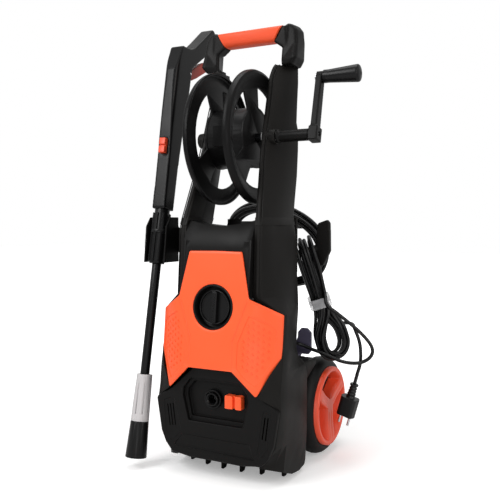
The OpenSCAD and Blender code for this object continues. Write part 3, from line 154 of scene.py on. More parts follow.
def clear_film(name, colour, rough, scale, see_through):
    """Thin clear packing film: mostly seen through, with bright creases."""
    material, tree, shader, place = material_of(name)
    creases = noise(tree, place, scale, 4.0, 0.7)
    feed(tree, shader, {"Base Color": two_tone(tree, creases, [c * 0.7 for c in colour], colour),
                        "Roughness": remap(tree, creases, *rough), "Normal": bump(tree, creases, 0.5, 0.001),
                        "Alpha": 1 - see_through})
    return material


PLASTICS = {     # colour, roughness from and to, grain, its depth, gloss, strength of the clouds
    "housing_black": ((0.0058, 0.0053, 0.0048), (0.42, 0.52), 1100.0, 0.05, 0.11),
    "frame_black": ((0.0042, 0.0040, 0.0039), (0.36, 0.46), 1100.0, 0.04, 0.10),
    "reel_black": ((0.0038, 0.0037, 0.0038), (0.34, 0.42), 1000.0, 0.04, 0.10),
    "gun_black": ((0.0040, 0.0040, 0.0042), (0.26, 0.34), 1000.0, 0.03, 0.16),
    "panel_orange": ((0.90, 0.094, 0.020), (0.36, 0.44), 1300.0, 0.05, 0.35, 0.03),
    "cap_orange": ((0.72, 0.066, 0.022), (0.34, 0.42), 1200.0, 0.04, 0.4, 0.04),
    "grip_orange": ((0.74, 0.072, 0.018), (0.46, 0.60), 430.0, 0.40, 0.35, 0.10),
    "trigger_red": ((0.34, 0.030, 0.014), (0.34, 0.42), 1200.0, 0.04, 0.4, 0.05),
    "collar_grey": ((0.47, 0.455, 0.46), (0.34, 0.44), 1000.0, 0.04, 0.4, 0.05),
    "hook_grey": ((0.080, 0.072, 0.115), (0.36, 0.46), 900.0, 0.05, 0.4, 0.08),
    "tyre_rubber": ((0.0050, 0.0048, 0.0048), (0.44, 0.58), 700.0, 0.08, 0.12),
    "cord_black": ((0.0042, 0.0042, 0.0044), (0.28, 0.38), 800.0, 0.03, 0.26),
    "bush_grey": ((0.42, 0.42, 0.42),),
}
METALS = {     # colour, roughness from and to, drawing lines
    "steel": ((0.62, 0.62, 0.64),),
    "steel_dark": ((0.030, 0.030, 0.032), (0.30, 0.42)),
    "brass": ((0.72, 0.50, 0.20),),
    "cast_alloy": ((0.46, 0.47, 0.49), (0.40, 0.55), 500.0),
}
FINISH = {name: moulded_plastic(name, *values) for name, values in PLASTICS.items()}
FINISH |= {name: worn_metal(name, *values) for name, values in METALS.items()}
FINISH["tie_film"] = clear_film("tie_film", (0.62, 0.62, 0.64), (0.12, 0.3), 160.0, 0.58)

NODES_IN = {     # the nodes that each finish is on
    "housing_black": ["base_tub", "side_shell_left", "side_shell_right", "rear_cover", "column_left", "column_right",
                      "cable_hook_upper", "hose_hooks"],
    "frame_black": ["front_feet", "front_frame", "front_housing", "handle_frame", "crank_arm", "lance_clip",
                    "cord_gland"],
    "panel_orange": ["front_panel", "outlet_latch"],
    "grip_orange": ["handle_grip"],
    "steel": ["axle", "crank_screw", "crank_pin", "rotor_shaft", "swash_plate", "trigger_pin", "plug_pins",
              "housing_screws"],
    "tyre_rubber": ["wheel_left", "wheel_right"],
    "cap_orange": ["wheel_cap_left", "wheel_cap_right", "gun_slider"],
    "reel_black": ["reel_drum", "reel_flange_left", "reel_flange_right"],
    "steel_dark": ["reel_shaft"],
    "bush_grey": ["reel_bushes", "switch_body", "cooling_fan", "capacitor"],
    "gun_black": ["crank_grip", "switch_knob", "outlet_socket", "gun_shell", "lance_adapter", "lance_tube",
                  "nozzle_tip", "hose_fittings"],
    "brass": ["water_inlet"],
    "cast_alloy": ["motor", "pump_head", "pump_manifold"],
    "trigger_red": ["gun_trigger"],
    "collar_grey": ["nozzle_collar"],
    "hook_grey": ["cable_hook_lower"],
    "cord_black": ["power_lead", "cord_hank", "plug_lead", "plug_body", "hose_coil"],
    "tie_film": ["cord_tie"],
}
NODE_FINISH = {node: finish for finish, nodes in NODES_IN.items() for node in nodes}
BODY_OF = {n: b for b, names in frame["record"]["behaviour"]["bodies"].items() for n in names}
SLOT_OF = {s["node"]: s["material_slot"] for s in frame["record"]["subparts"]}


def dress(mesh, node):
    """Gives a mesh the node's own finish."""
    mesh.materials.clear()
    mesh.materials.append(FINISH[NODE_FINISH[node]])


for node in SLOT_OF:
    dress(NODES[node].data, node)


# ---- pieces ----
MERGE = 2e-6     # metres; corners of a solid's triangles that are one point
EDGE_ROUND, EDGE_ANGLE, EDGE_STEPS = 0.8, 32, 2


def new_piece(mesh, node, replaces=True):
    """A piece named after its mesh, in the node's finish and tied to the node's body."""
    piece = placed(mesh.name, mesh)
    dress(mesh, node)
    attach(piece, BODY_OF[node])
    if replaces:
        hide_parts(node)
    return piece


def merged_copy(node, flatten):
    """The node's own mesh with its doubled corners merged and, if asked, its flat faces joined."""
    mesh = NODES[node].data.copy()
    work = bmesh.new()
    work.from_mesh(mesh)
    bmesh.ops.remove_doubles(work, verts=work.verts, dist=MERGE)
    if flatten:
        bmesh.ops.dissolve_limit(work, angle_limit=math.radians(1.0), verts=work.verts, edges=work.edges,
                                 delimit=set())
        for face in work.faces:
            face.smooth = True
    work.to_mesh(mesh)
    work.free()
    return mesh


def plain_mesh(holder, name):
    """What the holder's modifiers make of it, as one plain mesh; the holder goes."""
    evaluated = holder.evaluated_get(bpy.context.evaluated_depsgraph_get())
    mesh = bpy.data.meshes.new_from_object(evaluated)
    mesh.name = name
    bpy.data.objects.remove(holder)
    return mesh


def rounded_copy(node):
    """The node's own shape with its sharp edges rounded, as a mould leaves them."""
    mesh = merged_copy(node, True)
    mesh.name = node + "_moulded"
    bevel = new_piece(mesh, node).modifiers.new("edges", "BEVEL")
    bevel.width = EDGE_ROUND * MM
    bevel.segments = EDGE_STEPS
    bevel.limit_method = "ANGLE"
    bevel.angle_limit = math.radians(EDGE_ANGLE)
    bevel.harden_normals = True


# ---- outlines and meshes; every mesh is drawn in machine millimetres and placed by finished() ----
def lookup(z, rows):
    """The point of a table of [z, x, y] rows at height z."""
    if z <= rows[0][0]:
        return rows[0][1:]
    for low, high in zip(rows, rows[1:]):
        if z <= high[0]:
            t = (z - low[0]) / (high[0] - low[0])
            return tuple(mix(a, b, t) for a, b in zip(low[1:], high[1:]))
    return rows[-1][1:]


def soft_lookup(z, rows, reach):
    """The same, with the table's kinks eased over a short height."""
    picked = [lookup(min(max(z + d * reach, rows[0][0]), rows[-1][0]), rows) for d in (-1, -0.5, 0, 0.5, 1)]
    return tuple(sum(p[i] for p in picked) / len(picked) for i in range(len(picked[0])))


def spline_through(points, steps):
    """Catmull-Rom line through the points, with straight-on ends."""
    p = [Vector(q) for q in points]
    q = [2 * p[0] - p[1]] + p + [2 * p[-1] - p[-2]]
    out = []
    for i in range(1, len(p)):
        a, b, c, d = q[i - 1], q[i], q[i + 1], q[i + 2]
        for j in range(steps):
            t = j / steps
            out.append(0.5 * (2 * b + (c - a) * t + (2 * a - 5 * b + 4 * c - d) * t * t
                              + (3 * b - a - 3 * c + d) * t ** 3))
    out.append(p[-1])
    return out


def rounded(points, radius, steps):
    """A closed outline with its corners rounded; radius is one number or one for each corner."""
    out = []
    n = len(points)
    for i in range(n):
        a, b, c = (Vector(points[(i + k) % n]) for k in (-1, 0, 1))
        r = radius[i] if isinstance(radius, list) else radius
        u, v = a - b, c - b
        half = u.angle(v) / 2
        cut = min(r / math.tan(half), 0.48 * min(u.length, v.length)) if 0.02 < half < 1.55 else 0
        if cut < 0.01:
            out.append(tuple(b))
            continue
        p, q = b + cut * unit(u), b + cut * unit(v)
        for k in range(steps + 1):
            t = k / steps
            out.append(tuple(p * (1 - t) ** 2 + 2 * b * t * (1 - t) + q * t * t))
    return out


def mirrored(right, radii, steps):
    """A rounded outline from its right half, which starts and ends on the middle plane, with its radii."""
    left = [(-x, z) for x, z in right[-2:0:-1]]
    return rounded(right + left, radii + radii[-2:0:-1], steps)


def circle(middle, radius, steps, squeeze=1.0):
    """Points round a circle, with its height squeezed where it is seen aslant."""
    x, z = middle
    turns = [2 * math.pi * k / steps for k in range(steps)]
    return [(x + radius * math.cos(a), z + radius * squeeze * math.sin(a)) for a in turns]


def inset(points, d):
    """The outline moved inwards by d."""
    pts = [Vector(p) for p in points]
    turn = math.copysign(1, sum(a.cross(b) for a, b in zip(pts, pts[1:] + pts[:1])))
    out = []
    n = len(pts)
    for i in range(n):
        a, b, c = pts[i - 1], pts[i], pts[(i + 1) % n]
        left, right = (Vector((-e.y, e.x)) * turn for e in (unit(b - a), unit(c - b)))
        m = left + right
        if m.length < 0.05:
            out.append(tuple(b + d * left))
            continue
        m.normalize()
        out.append(tuple(b + m * d / max(0.35, m.dot(left))))
    return out


def inside(point, outline):
    """Whether the point lies within the closed outline."""
    x, y = point
    hit = False
    for (ax, ay), (bx, by) in zip(outline, outline[1:] + outline[:1]):
        if (ay > y) != (by > y) and x < (bx - ax) * (y - ay) / (by - ay) + ax:
            hit = not hit
    return hit


def finished(name, work, sharp, merge=True):
    """Turns a bmesh in machine millimetres into a placed mesh with outward faces; sharp is in degrees."""
    if merge:
        bmesh.ops.remove_doubles(work, verts=work.verts, dist=0.002)
    bmesh.ops.recalc_face_normals(work, faces=work.faces)
    for v in work.verts:
        v.co = at(*v.co)
    for f in work.faces:
        f.smooth = True
    mesh = bpy.data.meshes.new(name)
    work.to_mesh(mesh)
    work.free()
    mesh.set_sharp_from_angle(angle=math.radians(sharp))
    return mesh


def relief(name, rings, loose, holes, back, sharp):
    """A moulded face: rings of (x, z) points with their own depth, joined to one skin of even thickness.
    The first ring is the outline. Each ring is (points, depth function or number), and back(x, z, y) is
    the depth of the skin's inner side behind a point of its face."""
    flat, depth, edges = [], [], []
    for points, y in rings:
        start = len(flat)
        for i, (x, z) in enumerate(points):
            flat.append(Vector((x, z)))
            depth.append(y(x, z) if callable(y) else y)
            edges.append((start + i, start + (i + 1) % len(points)))
    for x, z, y in loose:
        flat.append(Vector((x, z)))
        depth.append(y)
    verts, _, faces, came_from, _, _ = geometry.delaunay_2d_cdt(flat, edges, [], 0, 1e-4)
    outline = [tuple(p) for p in rings[0][0]]
    work = bmesh.new()
    front = []
    for v, origin in zip(verts, came_from):
        nearest = origin[0] if origin else min(range(len(flat)), key=lambda i: (flat[i] - v).length_squared)
        front.append(work.verts.new((v.x, depth[nearest], v.y)))
    rear = [work.verts.new((v.co.x, back(v.co.x, v.co.z, v.co.y), v.co.z)) for v in front]
    for f in faces:
        middle = tuple(sum((verts[i] for i in f), Vector((0, 0))) / len(f))
        if inside(middle, outline) and not any(inside(middle, h) for h in holes):
            work.faces.new([front[i] for i in f])
            work.faces.new([rear[i] for i in reversed(f)])
    rimmed(work, dict(zip(front, rear)))
    return finished(name, work, sharp, merge=False)


def rimmed(work, behind):
    """Closes a skin's open edges; behind gives the rear point of each front point. Unused points go."""
    for edge in [e for e in work.edges if len(e.link_faces) == 1 and all(v in behind for v in e.verts)]:
        a, b = edge.verts
        work.faces.new((a, b, behind[b], behind[a]))
    bmesh.ops.delete(work, geom=[v for v in work.verts if not v.link_faces], context="VERTS")


def lofted(work, rings):
    """Quads through closed rings of 3D points, with flat ends."""
    rows = [[work.verts.new(p) for p in ring] for ring in rings]
    n = len(rows[0])
    for low, high in zip(rows, rows[1:]):
        for i in range(n):
            j = (i + 1) % n
            work.faces.new((low[i], low[j], high[j], high[i]))
    work.faces.new(rows[0][::-1])
    work.faces.new(rows[-1])


def turned(work, profile, steps, place):
    """A turned piece: profile is (radius, along) points, closed or ending on the axis."""
    rows = []
    for r, h in profile:
        turns = [2 * math.pi * k / steps for k in range(steps if r else 1)]
        rows.append([work.verts.new(place(Vector((r * math.cos(a), r * math.sin(a), h)))) for a in turns])
    for low, high in zip(rows, rows[1:]):
        for k in range(steps):
            m = (k + 1) % steps
            corners = (low[k % len(low)], low[m % len(low)], high[m % len(high)], high[k % len(high)])
            face = list(dict.fromkeys(corners))
            if len(face) > 2:
                work.faces.new(face)


def block(work, low, high, place=Vector):
    """A plain block between two corners."""
    (x0, y0, z0), (x1, y1, z1) = low, high
    v = [work.verts.new(place(Vector((x, y, z)))) for z in (z0, z1) for y in (y0, y1) for x in (x0, x1)]
    for f in ((0, 2, 3, 1), (4, 5, 7, 6), (0, 1, 5, 4), (2, 6, 7, 3), (0, 4, 6, 2), (1, 3, 7, 5)):
        work.faces.new([v[i] for i in f])


# ---- orange front panel ----
LEAN = math.radians(5.95)
FACE_Y, FACE_Z = -262, 209     # the panel's flat face at its lower edge
KNOB_Z, DISH_R = 320.0, 40.9
WING_X, WING_SWEEP, PANEL_T, PAD_SINK = 125.0, 36.0, 3.0, 1.3
FOLD = [(160, 45.0), (209, 45.0), (262, 43.0), (338, 71.0), (420, 54.4)]     # height, half width of the flat face
CREASE_DEEP, CREASE_LOW, CREASE_HIGH = 1.9, 205, 342


def face_y(z):
    return FACE_Y + (z - FACE_Z) * math.tan(LEAN)


def fold_x(z):
    return lookup(z, FOLD)[0]


def panel_y(x, z):
    s = max(0.0, (abs(x) - fold_x(z)) / (WING_X - fold_x(z)))
    return face_y(z) + WING_SWEEP * s * s


def panel_skin(x, z):
    """The panel's outer face with its crease where the wings fold back."""
    aside = abs(x) - fold_x(z)
    crease = smooth_step((aside + 1.0) / 2.6) * (1 - smooth_step((aside - 3.0) / 18.0))
    ends = smooth_step((CREASE_HIGH - z) / 14) * smooth_step((z - CREASE_LOW) / 12)
    return panel_y(x, z) + CREASE_DEEP * crease * ends


PANEL_RIGHT = [(0, 209.2), (44.9, 209.2), (89.5, 167), (125, 235), (124.7, 308.8), (71.8, 337.9), (54.4, 419.6),
               (0, 420.6)]
PANEL_OUT = mirrored(PANEL_RIGHT, [0, 4, 3, 5, 4, 7, 4, 0], 5)
PAD = [(73.7, 309.6), (106, 293.5), (116, 285), (117, 236), (98, 202), (88, 184), (67.5, 201), (52.8, 216),
       (52.8, 258.5)]
PAD_OUT = rounded(PAD, 5, 4)
knob_at = Vector((0, face_y(KNOB_Z), KNOB_Z))


def at_knob(p):
    """From the knob's own axes, z out of the panel, to the machine."""
    up, out = Vector((0, math.sin(LEAN), math.cos(LEAN))), Vector((0, -math.cos(LEAN), math.sin(LEAN)))
    return knob_at + Vector((p.x, 0, 0)) + p.y * up + p.z * out


def round_knob(radius):
    return circle((0, KNOB_Z), radius, 72, math.cos(LEAN))


def set_back(d):
    """The panel's face moved back by d."""
    return lambda x, z: panel_skin(x, z) + d


# loose points over the panel: an even grid, close lines along the creases, and the room left round outlines
GRID_X, GRID_Z, GRID_ACROSS, GRID_UP = (-124, 124), (168, 419), 62, 64
LINES_Z, LINES_UP, LINES_OFF = (212, 334), 69, (-1.1, -0.3, 0.4, 1.1, 1.8)
ROOM_EDGE, ROOM_DISH, ROOM_IN_PAD, ROOM_BY_PAD = 2.6, 5.6, 2.4, 1.6


def panel_points(pads):
    """The panel's loose points, each with its depth."""
    room, dish = inset(PANEL_OUT, ROOM_EDGE), round_knob(DISH_R + ROOM_DISH)
    sunk, near = ([inset(p, d) for p in pads] for d in (ROOM_IN_PAD, -ROOM_BY_PAD))
    grid = [(mix(*GRID_X, i / GRID_ACROSS), mix(*GRID_Z, j / GRID_UP))
            for i in range(GRID_ACROSS + 1) for j in range(GRID_UP + 1)]
    heights = [mix(*LINES_Z, j / LINES_UP) for j in range(LINES_UP + 1)]
    lines = [(side * (fold_x(z) + off), z) for side in (-1, 1) for z in heights for off in LINES_OFF]
    points = []
    for p, may_sink in [(p, True) for p in grid] + [(p, False) for p in lines]:
        if inside(p, room) and not inside(p, dish):
            if may_sink and any(inside(p, pad) for pad in sunk):
                points.append((*p, panel_skin(*p) + PAD_SINK))
            elif not any(inside(p, pad) for pad in near):
                points.append((*p, panel_skin(*p)))
    return points


def make_panel():
    hole = round_knob(DISH_R)
    pads = [PAD_OUT, [(-x, z) for x, z in PAD_OUT[::-1]]]
    rings = [(inset(PANEL_OUT, d), set_back(back)) for d, back in ((0, 1.5), (0.35, 0.55), (1.1, 0))]
    rings += [(round_knob(DISH_R + d), set_back(back)) for d, back in ((0, 2.6), (0.4, 1.5), (1.4, 0.5), (2.9, 0))]
    for pad in pads:
        rings += [(inset(pad, d), set_back(back)) for d, back in ((0, 0), (0.45, 1.0), (1.2, PAD_SINK))]
    return relief("front_panel_skin", rings, panel_points(pads), [hole],
                  lambda x, z, y: max(y + 0.6, panel_y(x, z) + PANEL_T), 34)


new_piece(make_panel(), "front_panel")

# ---- three-armed stars that stand a little proud of the panel's sunken pads ----
STAR_ARM, STAR_WAIST, STAR_HIGH = 5.0, 0.85, 0.95
STAR_CORNER, STAR_TOP = 0.3, 0.72     # rounding of its corners, and the size of its top to its foot
STAR_ROWS, STAR_COLS, STAR_ROW, STAR_COL = 14, 9, 11.0, 8.2
STAR_X, STAR_Z, STAR_ROOM = 48, 186, 6.2     # where their grid starts, and how far they stay from the pad's edge


def star_tree(arm, waist, height, finish):
    """A raised star with three arms on every point, turned to the point's own way out."""
    tree = bpy.data.node_groups.new("stars_on_pad", "GeometryNodeTree")
    face = tree.interface
    face.new_socket("Points", in_out="INPUT", socket_type="NodeSocketGeometry")
    for label, value in (("Arm length", arm), ("Waist", waist), ("Height", height)):
        face.new_socket(label, in_out="INPUT", socket_type="NodeSocketFloat").default_value = value
    face.new_socket("Geometry", in_out="OUTPUT", socket_type="NodeSocketGeometry")
    entry = add(tree, "NodeGroupInput", {})
    star = add(tree, "GeometryNodeCurveStar", {"Points": 3, "Outer Radius": entry["Arm length"],
                                               "Inner Radius": entry["Waist"]})
    upright = add(tree, "GeometryNodeTransform", {"Geometry": star["Curve"], "Rotation": (0, 0, math.pi / 2)})
    soft = add(tree, "GeometryNodeFilletCurve", {"Curve": upright["Geometry"], "Count": 2,
                                                 "Radius": STAR_CORNER * MM}, mode="POLY")
    fill = add(tree, "GeometryNodeFillCurve", {"Curve": soft["Curve"]}, mode="NGONS")
    raised = add(tree, "GeometryNodeExtrudeMesh", {"Mesh": fill["Mesh"], "Offset Scale": entry["Height"]})
    small = add(tree, "GeometryNodeScaleElements", {"Geometry": raised["Mesh"], "Selection": raised["Top"],
                                                    "Scale": STAR_TOP})
    turn = add(tree, "GeometryNodeInputNamedAttribute", {"Name": "turn"}, data_type="FLOAT_VECTOR")
    stars = add(tree, "GeometryNodeInstanceOnPoints", {"Points": entry["Points"], "Instance": small["Geometry"],
                                                       "Rotation": turn["Attribute"]})
    real = add(tree, "GeometryNodeRealizeInstances", {"Geometry": stars["Instances"]})
    paint = add(tree, "GeometryNodeSetMaterial", {"Geometry": real["Geometry"], "Material": finish})
    add(tree, "NodeGroupOutput", {"Geometry": paint["Geometry"]})
    return tree


def grown(name, carrier, tree):
    """The result of a node tree on a carrier mesh, as one plain mesh."""
    holder = placed(name + "_carrier", carrier)
    holder.modifiers.new("growth", "NODES").node_group = tree
    return plain_mesh(holder, name)


def star_places():
    """Bare points over the pads, each with the turn of a star that lies on the panel there."""
    places, turns = [], []
    room = inset(PAD_OUT, STAR_ROOM)
    grid = [(STAR_X + col * STAR_COL, STAR_Z + (row + col % 2 / 2) * STAR_ROW)
            for row in range(STAR_ROWS) for col in range(STAR_COLS)]
    for side in (1, -1):
        for x, z in [p for p in grid if inside(p, room)]:
            depth = panel_skin(x, z)
            east = Vector((1, side * (panel_skin(x + 1, z) - depth), 0))
            north = Vector((0, panel_skin(x, z + 1) - depth, 1))
            out = unit(east.cross(north))
            east = unit(east - east.dot(out) * out)
            places.append(at(side * x, depth + PAD_SINK, z))
            turns.append(Matrix((east, out.cross(east), out)).transposed().to_euler())
    mesh = bpy.data.meshes.new("star_places")
    mesh.from_pydata(places, [], [])
    mesh.attributes.new("turn", "FLOAT_VECTOR", "POINT").data.foreach_set("vector", [v for t in turns for v in t])
    return mesh


star = star_tree(STAR_ARM * MM, STAR_WAIST * MM, STAR_HIGH * MM, FINISH["panel_orange"])
new_piece(grown("panel_stars", star_places(), star), "front_panel", replaces=False)

# ---- switch: a sunk cup with a grip bar, in the panel's dish; radius and height over the panel ----
CUP_PROFILE = [(0, -16.5), (30.2, -16.5), (31, -15.7), (31, -8.0), (30.7, -7.3), (30.0, -7.0), (29.3, -7.2),
               (28.7, -8.0), (28.2, -11.0), (27.2, -11.9), (25, -12), (0, -12)]
STEM_PROFILE = [(0, -28), (4.8, -28), (5, -27.5), (5, -16.2), (0, -16.2)]
BAR_X, BAR_Y, BAR_NOTCH = 5.2, 28.6, 12
BAR_RISE = ((0, -12.2), (0, -5.2), (0.35, -4.5), (1.1, -4.05), (2.4, -3.9))     # inwards, height


def make_knob():
    work = bmesh.new()
    turned(work, CUP_PROFILE, 96, at_knob)
    turned(work, STEM_PROFILE, 32, at_knob)
    bar = rounded([(-BAR_X, -BAR_Y), (BAR_X, -BAR_Y), (BAR_X, BAR_Y), (-BAR_X, BAR_Y)], 2.4, 4)
    rows = []
    for d, h in BAR_RISE:
        proud = 0.35 if d > 0.3 else 0     # the middle of the bar's top
        rows.append([at_knob(Vector((x, y, h + (proud if abs(y) < BAR_NOTCH else 0)))) for x, y in inset(bar, d)])
    lofted(work, rows)
    for y in (-BAR_NOTCH, BAR_NOTCH):
        block(work, (-BAR_X - 0.15, y - 0.7, -12), (BAR_X + 0.15, y + 0.7, -4.35), at_knob)
    return finished("switch_knob_cup", work, 34)


new_piece(make_knob(), "switch_knob")

# ---- front frame: chamfered face, two-step recess, cheek slots and the sill ----
FRAME_Y, FRAME_BACK, RECESS_Y, FRAME_T = -243.0, -236.0, -226.0, 2.5
SOCKET_AT, SOCKET_HOLE_R = (-10, 148), 17.6
FRAME_RIGHT = [(0, 36.4), (52, 35.8), (94, 41.5), (108, 58), (117.5, 79), (128, 143), (91.6, 166), (45.4, 208.2),
               (0, 208.2)]
FRAME_OUT = mirrored(FRAME_RIGHT, [0, 9, 10, 10, 8, 9, 6, 6, 0], 4)
RECESS_OUT = mirrored([(0, 104.5), (57.5, 104.5), (69.5, 152), (67.8, 167), (52, 187), (0, 187)], [0, 6, 7, 7, 6, 0], 4)
RECESS_IN = mirrored([(0, 111.5), (55.5, 111.5), (64, 151), (62.5, 164), (48, 180), (0, 180)], [0, 5, 6, 6, 5, 0], 4)
SILL = rounded([(-67.7, 79.5), (71.0, 78.8), (82.0, 50.8), (-91, 55.0)][::-1], 4, 4)
CHEEK_L = rounded([(-111, 139), (-88, 146), (-71.5, 83.5), (-94.5, 59.5), (-106.5, 79)], 4, 3)
CHEEK_R = rounded([(113.5, 138.5), (108.5, 79), (97, 60), (84.5, 60), (98, 142.5)], 4, 3)


def slot_of(top, foot, wide):
    """A narrow round-ended slot between the middles of its two ends."""
    (x0, z0), (x1, z1) = top, foot
    return rounded([(x0 - wide / 2, z0), (x0 + wide / 2, z0), (x1 + wide / 2, z1), (x1 - wide / 2, z1)], wide * 0.45, 3)


SLOTS = [slot_of(*row, 2.7) for row in (((-103.0, 131.0), (-97.5, 90.0)), ((-97.0, 132.5), (-91.5, 91.0)),
                                        ((-91.0, 134.0), (-85.5, 92.0)), ((101.5, 131.5), (95.5, 90.5)),
                                        ((107.3, 131.0), (102.0, 89.0)))]


def sill_y(x, z):
    return FRAME_Y - 1.6 + (79 - z) * 0.10


# each outline of the frame's face with its steps: inwards, and back from the face
FRAME_STEPS = [(FRAME_OUT, ((0, 4.2), (1.0, 1.5), (3.0, 0))),
               (RECESS_OUT, ((0, 0), (0.9, 0.8), (1.5, 8.0), (2.2, 8.8))),
               (RECESS_IN, ((0, 9.2), (0.8, 10.0), (1.3, 16.2), (2.0, 17.0))),
               (SILL, ((0, 0), (0.8, -1.1)))]
CHEEK_STEPS = ((0, 0), (0.9, 1.0), (1.7, 1.2))
SLOT_STEPS = ((0, 1.2), (0.35, 1.7), (0.5, 6.0))


def make_frame():
    steps = FRAME_STEPS + [(SILL, None)] + [(cheek, CHEEK_STEPS) for cheek in (CHEEK_L, CHEEK_R)]
    rings = []
    for outline, rows in steps + [(s, SLOT_STEPS) for s in SLOTS]:
        rings += [(inset(outline, d), FRAME_Y + back) for d, back in rows] if rows else [(inset(outline, 2.2), sill_y)]
    hole = circle(SOCKET_AT, SOCKET_HOLE_R, 48)
    rings.append((hole, RECESS_Y))

    def frame_back(x, z, y):
        """One flat back behind the face, and a skin behind the recess and its walls."""
        return max(min(y, RECESS_Y) + FRAME_T, FRAME_BACK if y < FRAME_BACK - 1 else y + FRAME_T - 0.1)

    return relief("front_frame_face", rings, (), [hole], frame_back, 26)


new_piece(make_frame(), "front_frame")

# ---- outlet: the socket's rings by radius and way forward, and the latch's two blocks ----
SOCKET_PROFILE = [(17.5, 226), (17.5, 232.2), (16.9, 233), (15.2, 233), (14.4, 232.2), (14.2, 229.5), (13.0, 229.5),
                  (12.6, 236.6), (11.9, 237.4), (10.2, 237.4), (9.5, 236.8), (8.6, 235.0), (8.1, 234.5),
                  (8.1, 213.5), (6.3, 212.5), (6.3, 205), (9, 205), (9, 226), (17.5, 226)]
VALVE_PROFILE = [(0, 212), (3.1, 212), (3.1, 219), (2.4, 220.5), (0, 221)]


def make_socket():
    """Coupling socket: a collar of stepped rings round the bore, with the valve's pin in it."""
    def out(p):
        return Vector((SOCKET_AT[0] + p.x, -p.z, SOCKET_AT[1] + p.y))

    work = bmesh.new()
    turned(work, SOCKET_PROFILE, 64, out)
    turned(work, VALVE_PROFILE, 24, out)
    return finished("outlet_socket_rings", work, 30)


new_piece(make_socket(), "outlet_socket")

LATCH_Y, LATCH_LOW, LATCH_HIGH = -240.0, 136.2, 160.2
LATCH_STEPS = ((0, 1.2), (0.35, 0.35), (1.2, 0))     # inwards, back from the face


def make_latch():
    """Two orange blocks with a groove between them, on one slide."""
    work = bmesh.new()
    foot = RECESS_Y - 0.3
    for x0, x1 in ((19.0, 34.9), (40.2, 52.5)):
        side = rounded([(x0, LATCH_LOW), (x1, LATCH_LOW), (x1, LATCH_HIGH), (x0, LATCH_HIGH)], 1.8, 3)
        lofted(work, [[(a, foot, b) for a, b in side]]
               + [[(a, LATCH_Y + back, b) for a, b in inset(side, d)] for d, back in LATCH_STEPS])
    block(work, (34.0, RECESS_Y - 8.0, LATCH_LOW + 0.8), (41.0, foot, LATCH_HIGH - 0.8))
    return finished("outlet_latch_blocks", work, 30, merge=False)


new_piece(make_latch(), "outlet_latch")

# ---- pieces with soft, full edges: their solid's shape, smoothed in fine steps ----
SOFT = {"gun_shell": (1.6, 12), "handle_frame": (1.7, 10), "lance_clip": (1.5, 4), "cable_hook_upper": (1.5, 6),
        "crank_arm": (1.2, 6), "gun_trigger": (1.0, 6), "plug_body": (0.8, 5), "cable_hook_lower": (1.4, 5),
        "front_feet": (1.2, 4)}     # size of the skin's cells, rounds of easing


def soft_copy(node, cell, rounds):
    """The node's own shape as a fine even skin whose edges are eased."""
    holder = placed(node + "_holder", merged_copy(node, False))
    skin = holder.modifiers.new("skin", "REMESH")
    skin.mode = "VOXEL"
    skin.voxel_size = cell * MM
    skin.use_smooth_shade = True
    ease = holder.modifiers.new("ease", "SMOOTH")
    ease.factor = 0.5
    ease.iterations = rounds
    new_piece(plain_mesh(holder, node + "_skin"), node)


for node, (cell, rounds) in SOFT.items():
    soft_copy(node, cell, rounds)


# ---- trim along the columns and shoulders ----
SHOULDER_Z, STRIP_Y, STRIP_LEAN = 467, -223, 0.338     # the columns' foot, its front and how it leans


def strip_y(z):
    return STRIP_Y + (z - SHOULDER_Z) * STRIP_LEAN


def swept(work, path, section, side_of):
    """A closed small section carried along a path; side_of(i) gives the across and out directions."""
    rings = []
    for i, p in enumerate(path):
        across, out = side_of(i)
        fade = min(1.0, 0.25 + i * 0.4, 0.25 + (len(path) - 1 - i) * 0.4)
        rings.append([Vector(p) + a * across + h * fade * out for a, h in section])
    lofted(work, rings)


def half_round(width, height, steps=8, sunk=0.8):
    """A flat-based bead; its base lies a little under the surface."""
    turns = [math.pi * k / steps for k in range(steps + 1)]
    arc = [(width / 2 * math.cos(a), height * math.sin(a) ** 0.8 if 0 < k < steps else 0) for k, a in enumerate(turns)]
    return arc + [(-width / 2, -sunk), (width / 2, -sunk)]


# height, half width and depth of the bead's line
SHELL_TRIM = [(338, 79.5, -230.2), (352, 79.3, -229.4), (380, 79.1, -227.6), (420, 78.8, -225.1),
              (466.5, 78.5, -222.4)]
COLUMN_LINE = [(468, 78.5), (500, 74.9), (560, 68), (609, 63.0), (664, 60.6), (720, 58.6), (741, 58.0), (752, 59.4),
               (762, 62), (769, 66)]
COLUMN_TRIM = [(z, x, strip_y(z)) for z, x in COLUMN_LINE]
TRIM_WIDE, TRIM_HIGH, BEAD_WIDE, BEAD_HIGH, BEAD_OFF, TRIM_LEAN = 7.6, 2.0, 1.7, 0.8, 6.6, math.atan(0.2)


def make_trim(name, rows, side):
    """A rounded edge along a front strip, with a fine bead beside it."""
    path = spline_through([(side * x, y + 0.2, z) for z, x, y in rows], 4)
    work = bmesh.new()
    out = Vector((0, -math.cos(TRIM_LEAN), math.sin(TRIM_LEAN)))

    def beside(i):
        along = unit(path[min(i + 1, len(path) - 1)] - path[max(i - 1, 0)])
        across = unit(along.cross(out))
        return across, across.cross(along)

    swept(work, path, half_round(TRIM_WIDE, TRIM_HIGH), beside)
    shift = [p + BEAD_OFF * side * Vector((1, 0.06, 0)) for p in path]
    swept(work, shift, half_round(BEAD_WIDE, BEAD_HIGH, 4), beside)
    return finished(name, work, 40, merge=False)


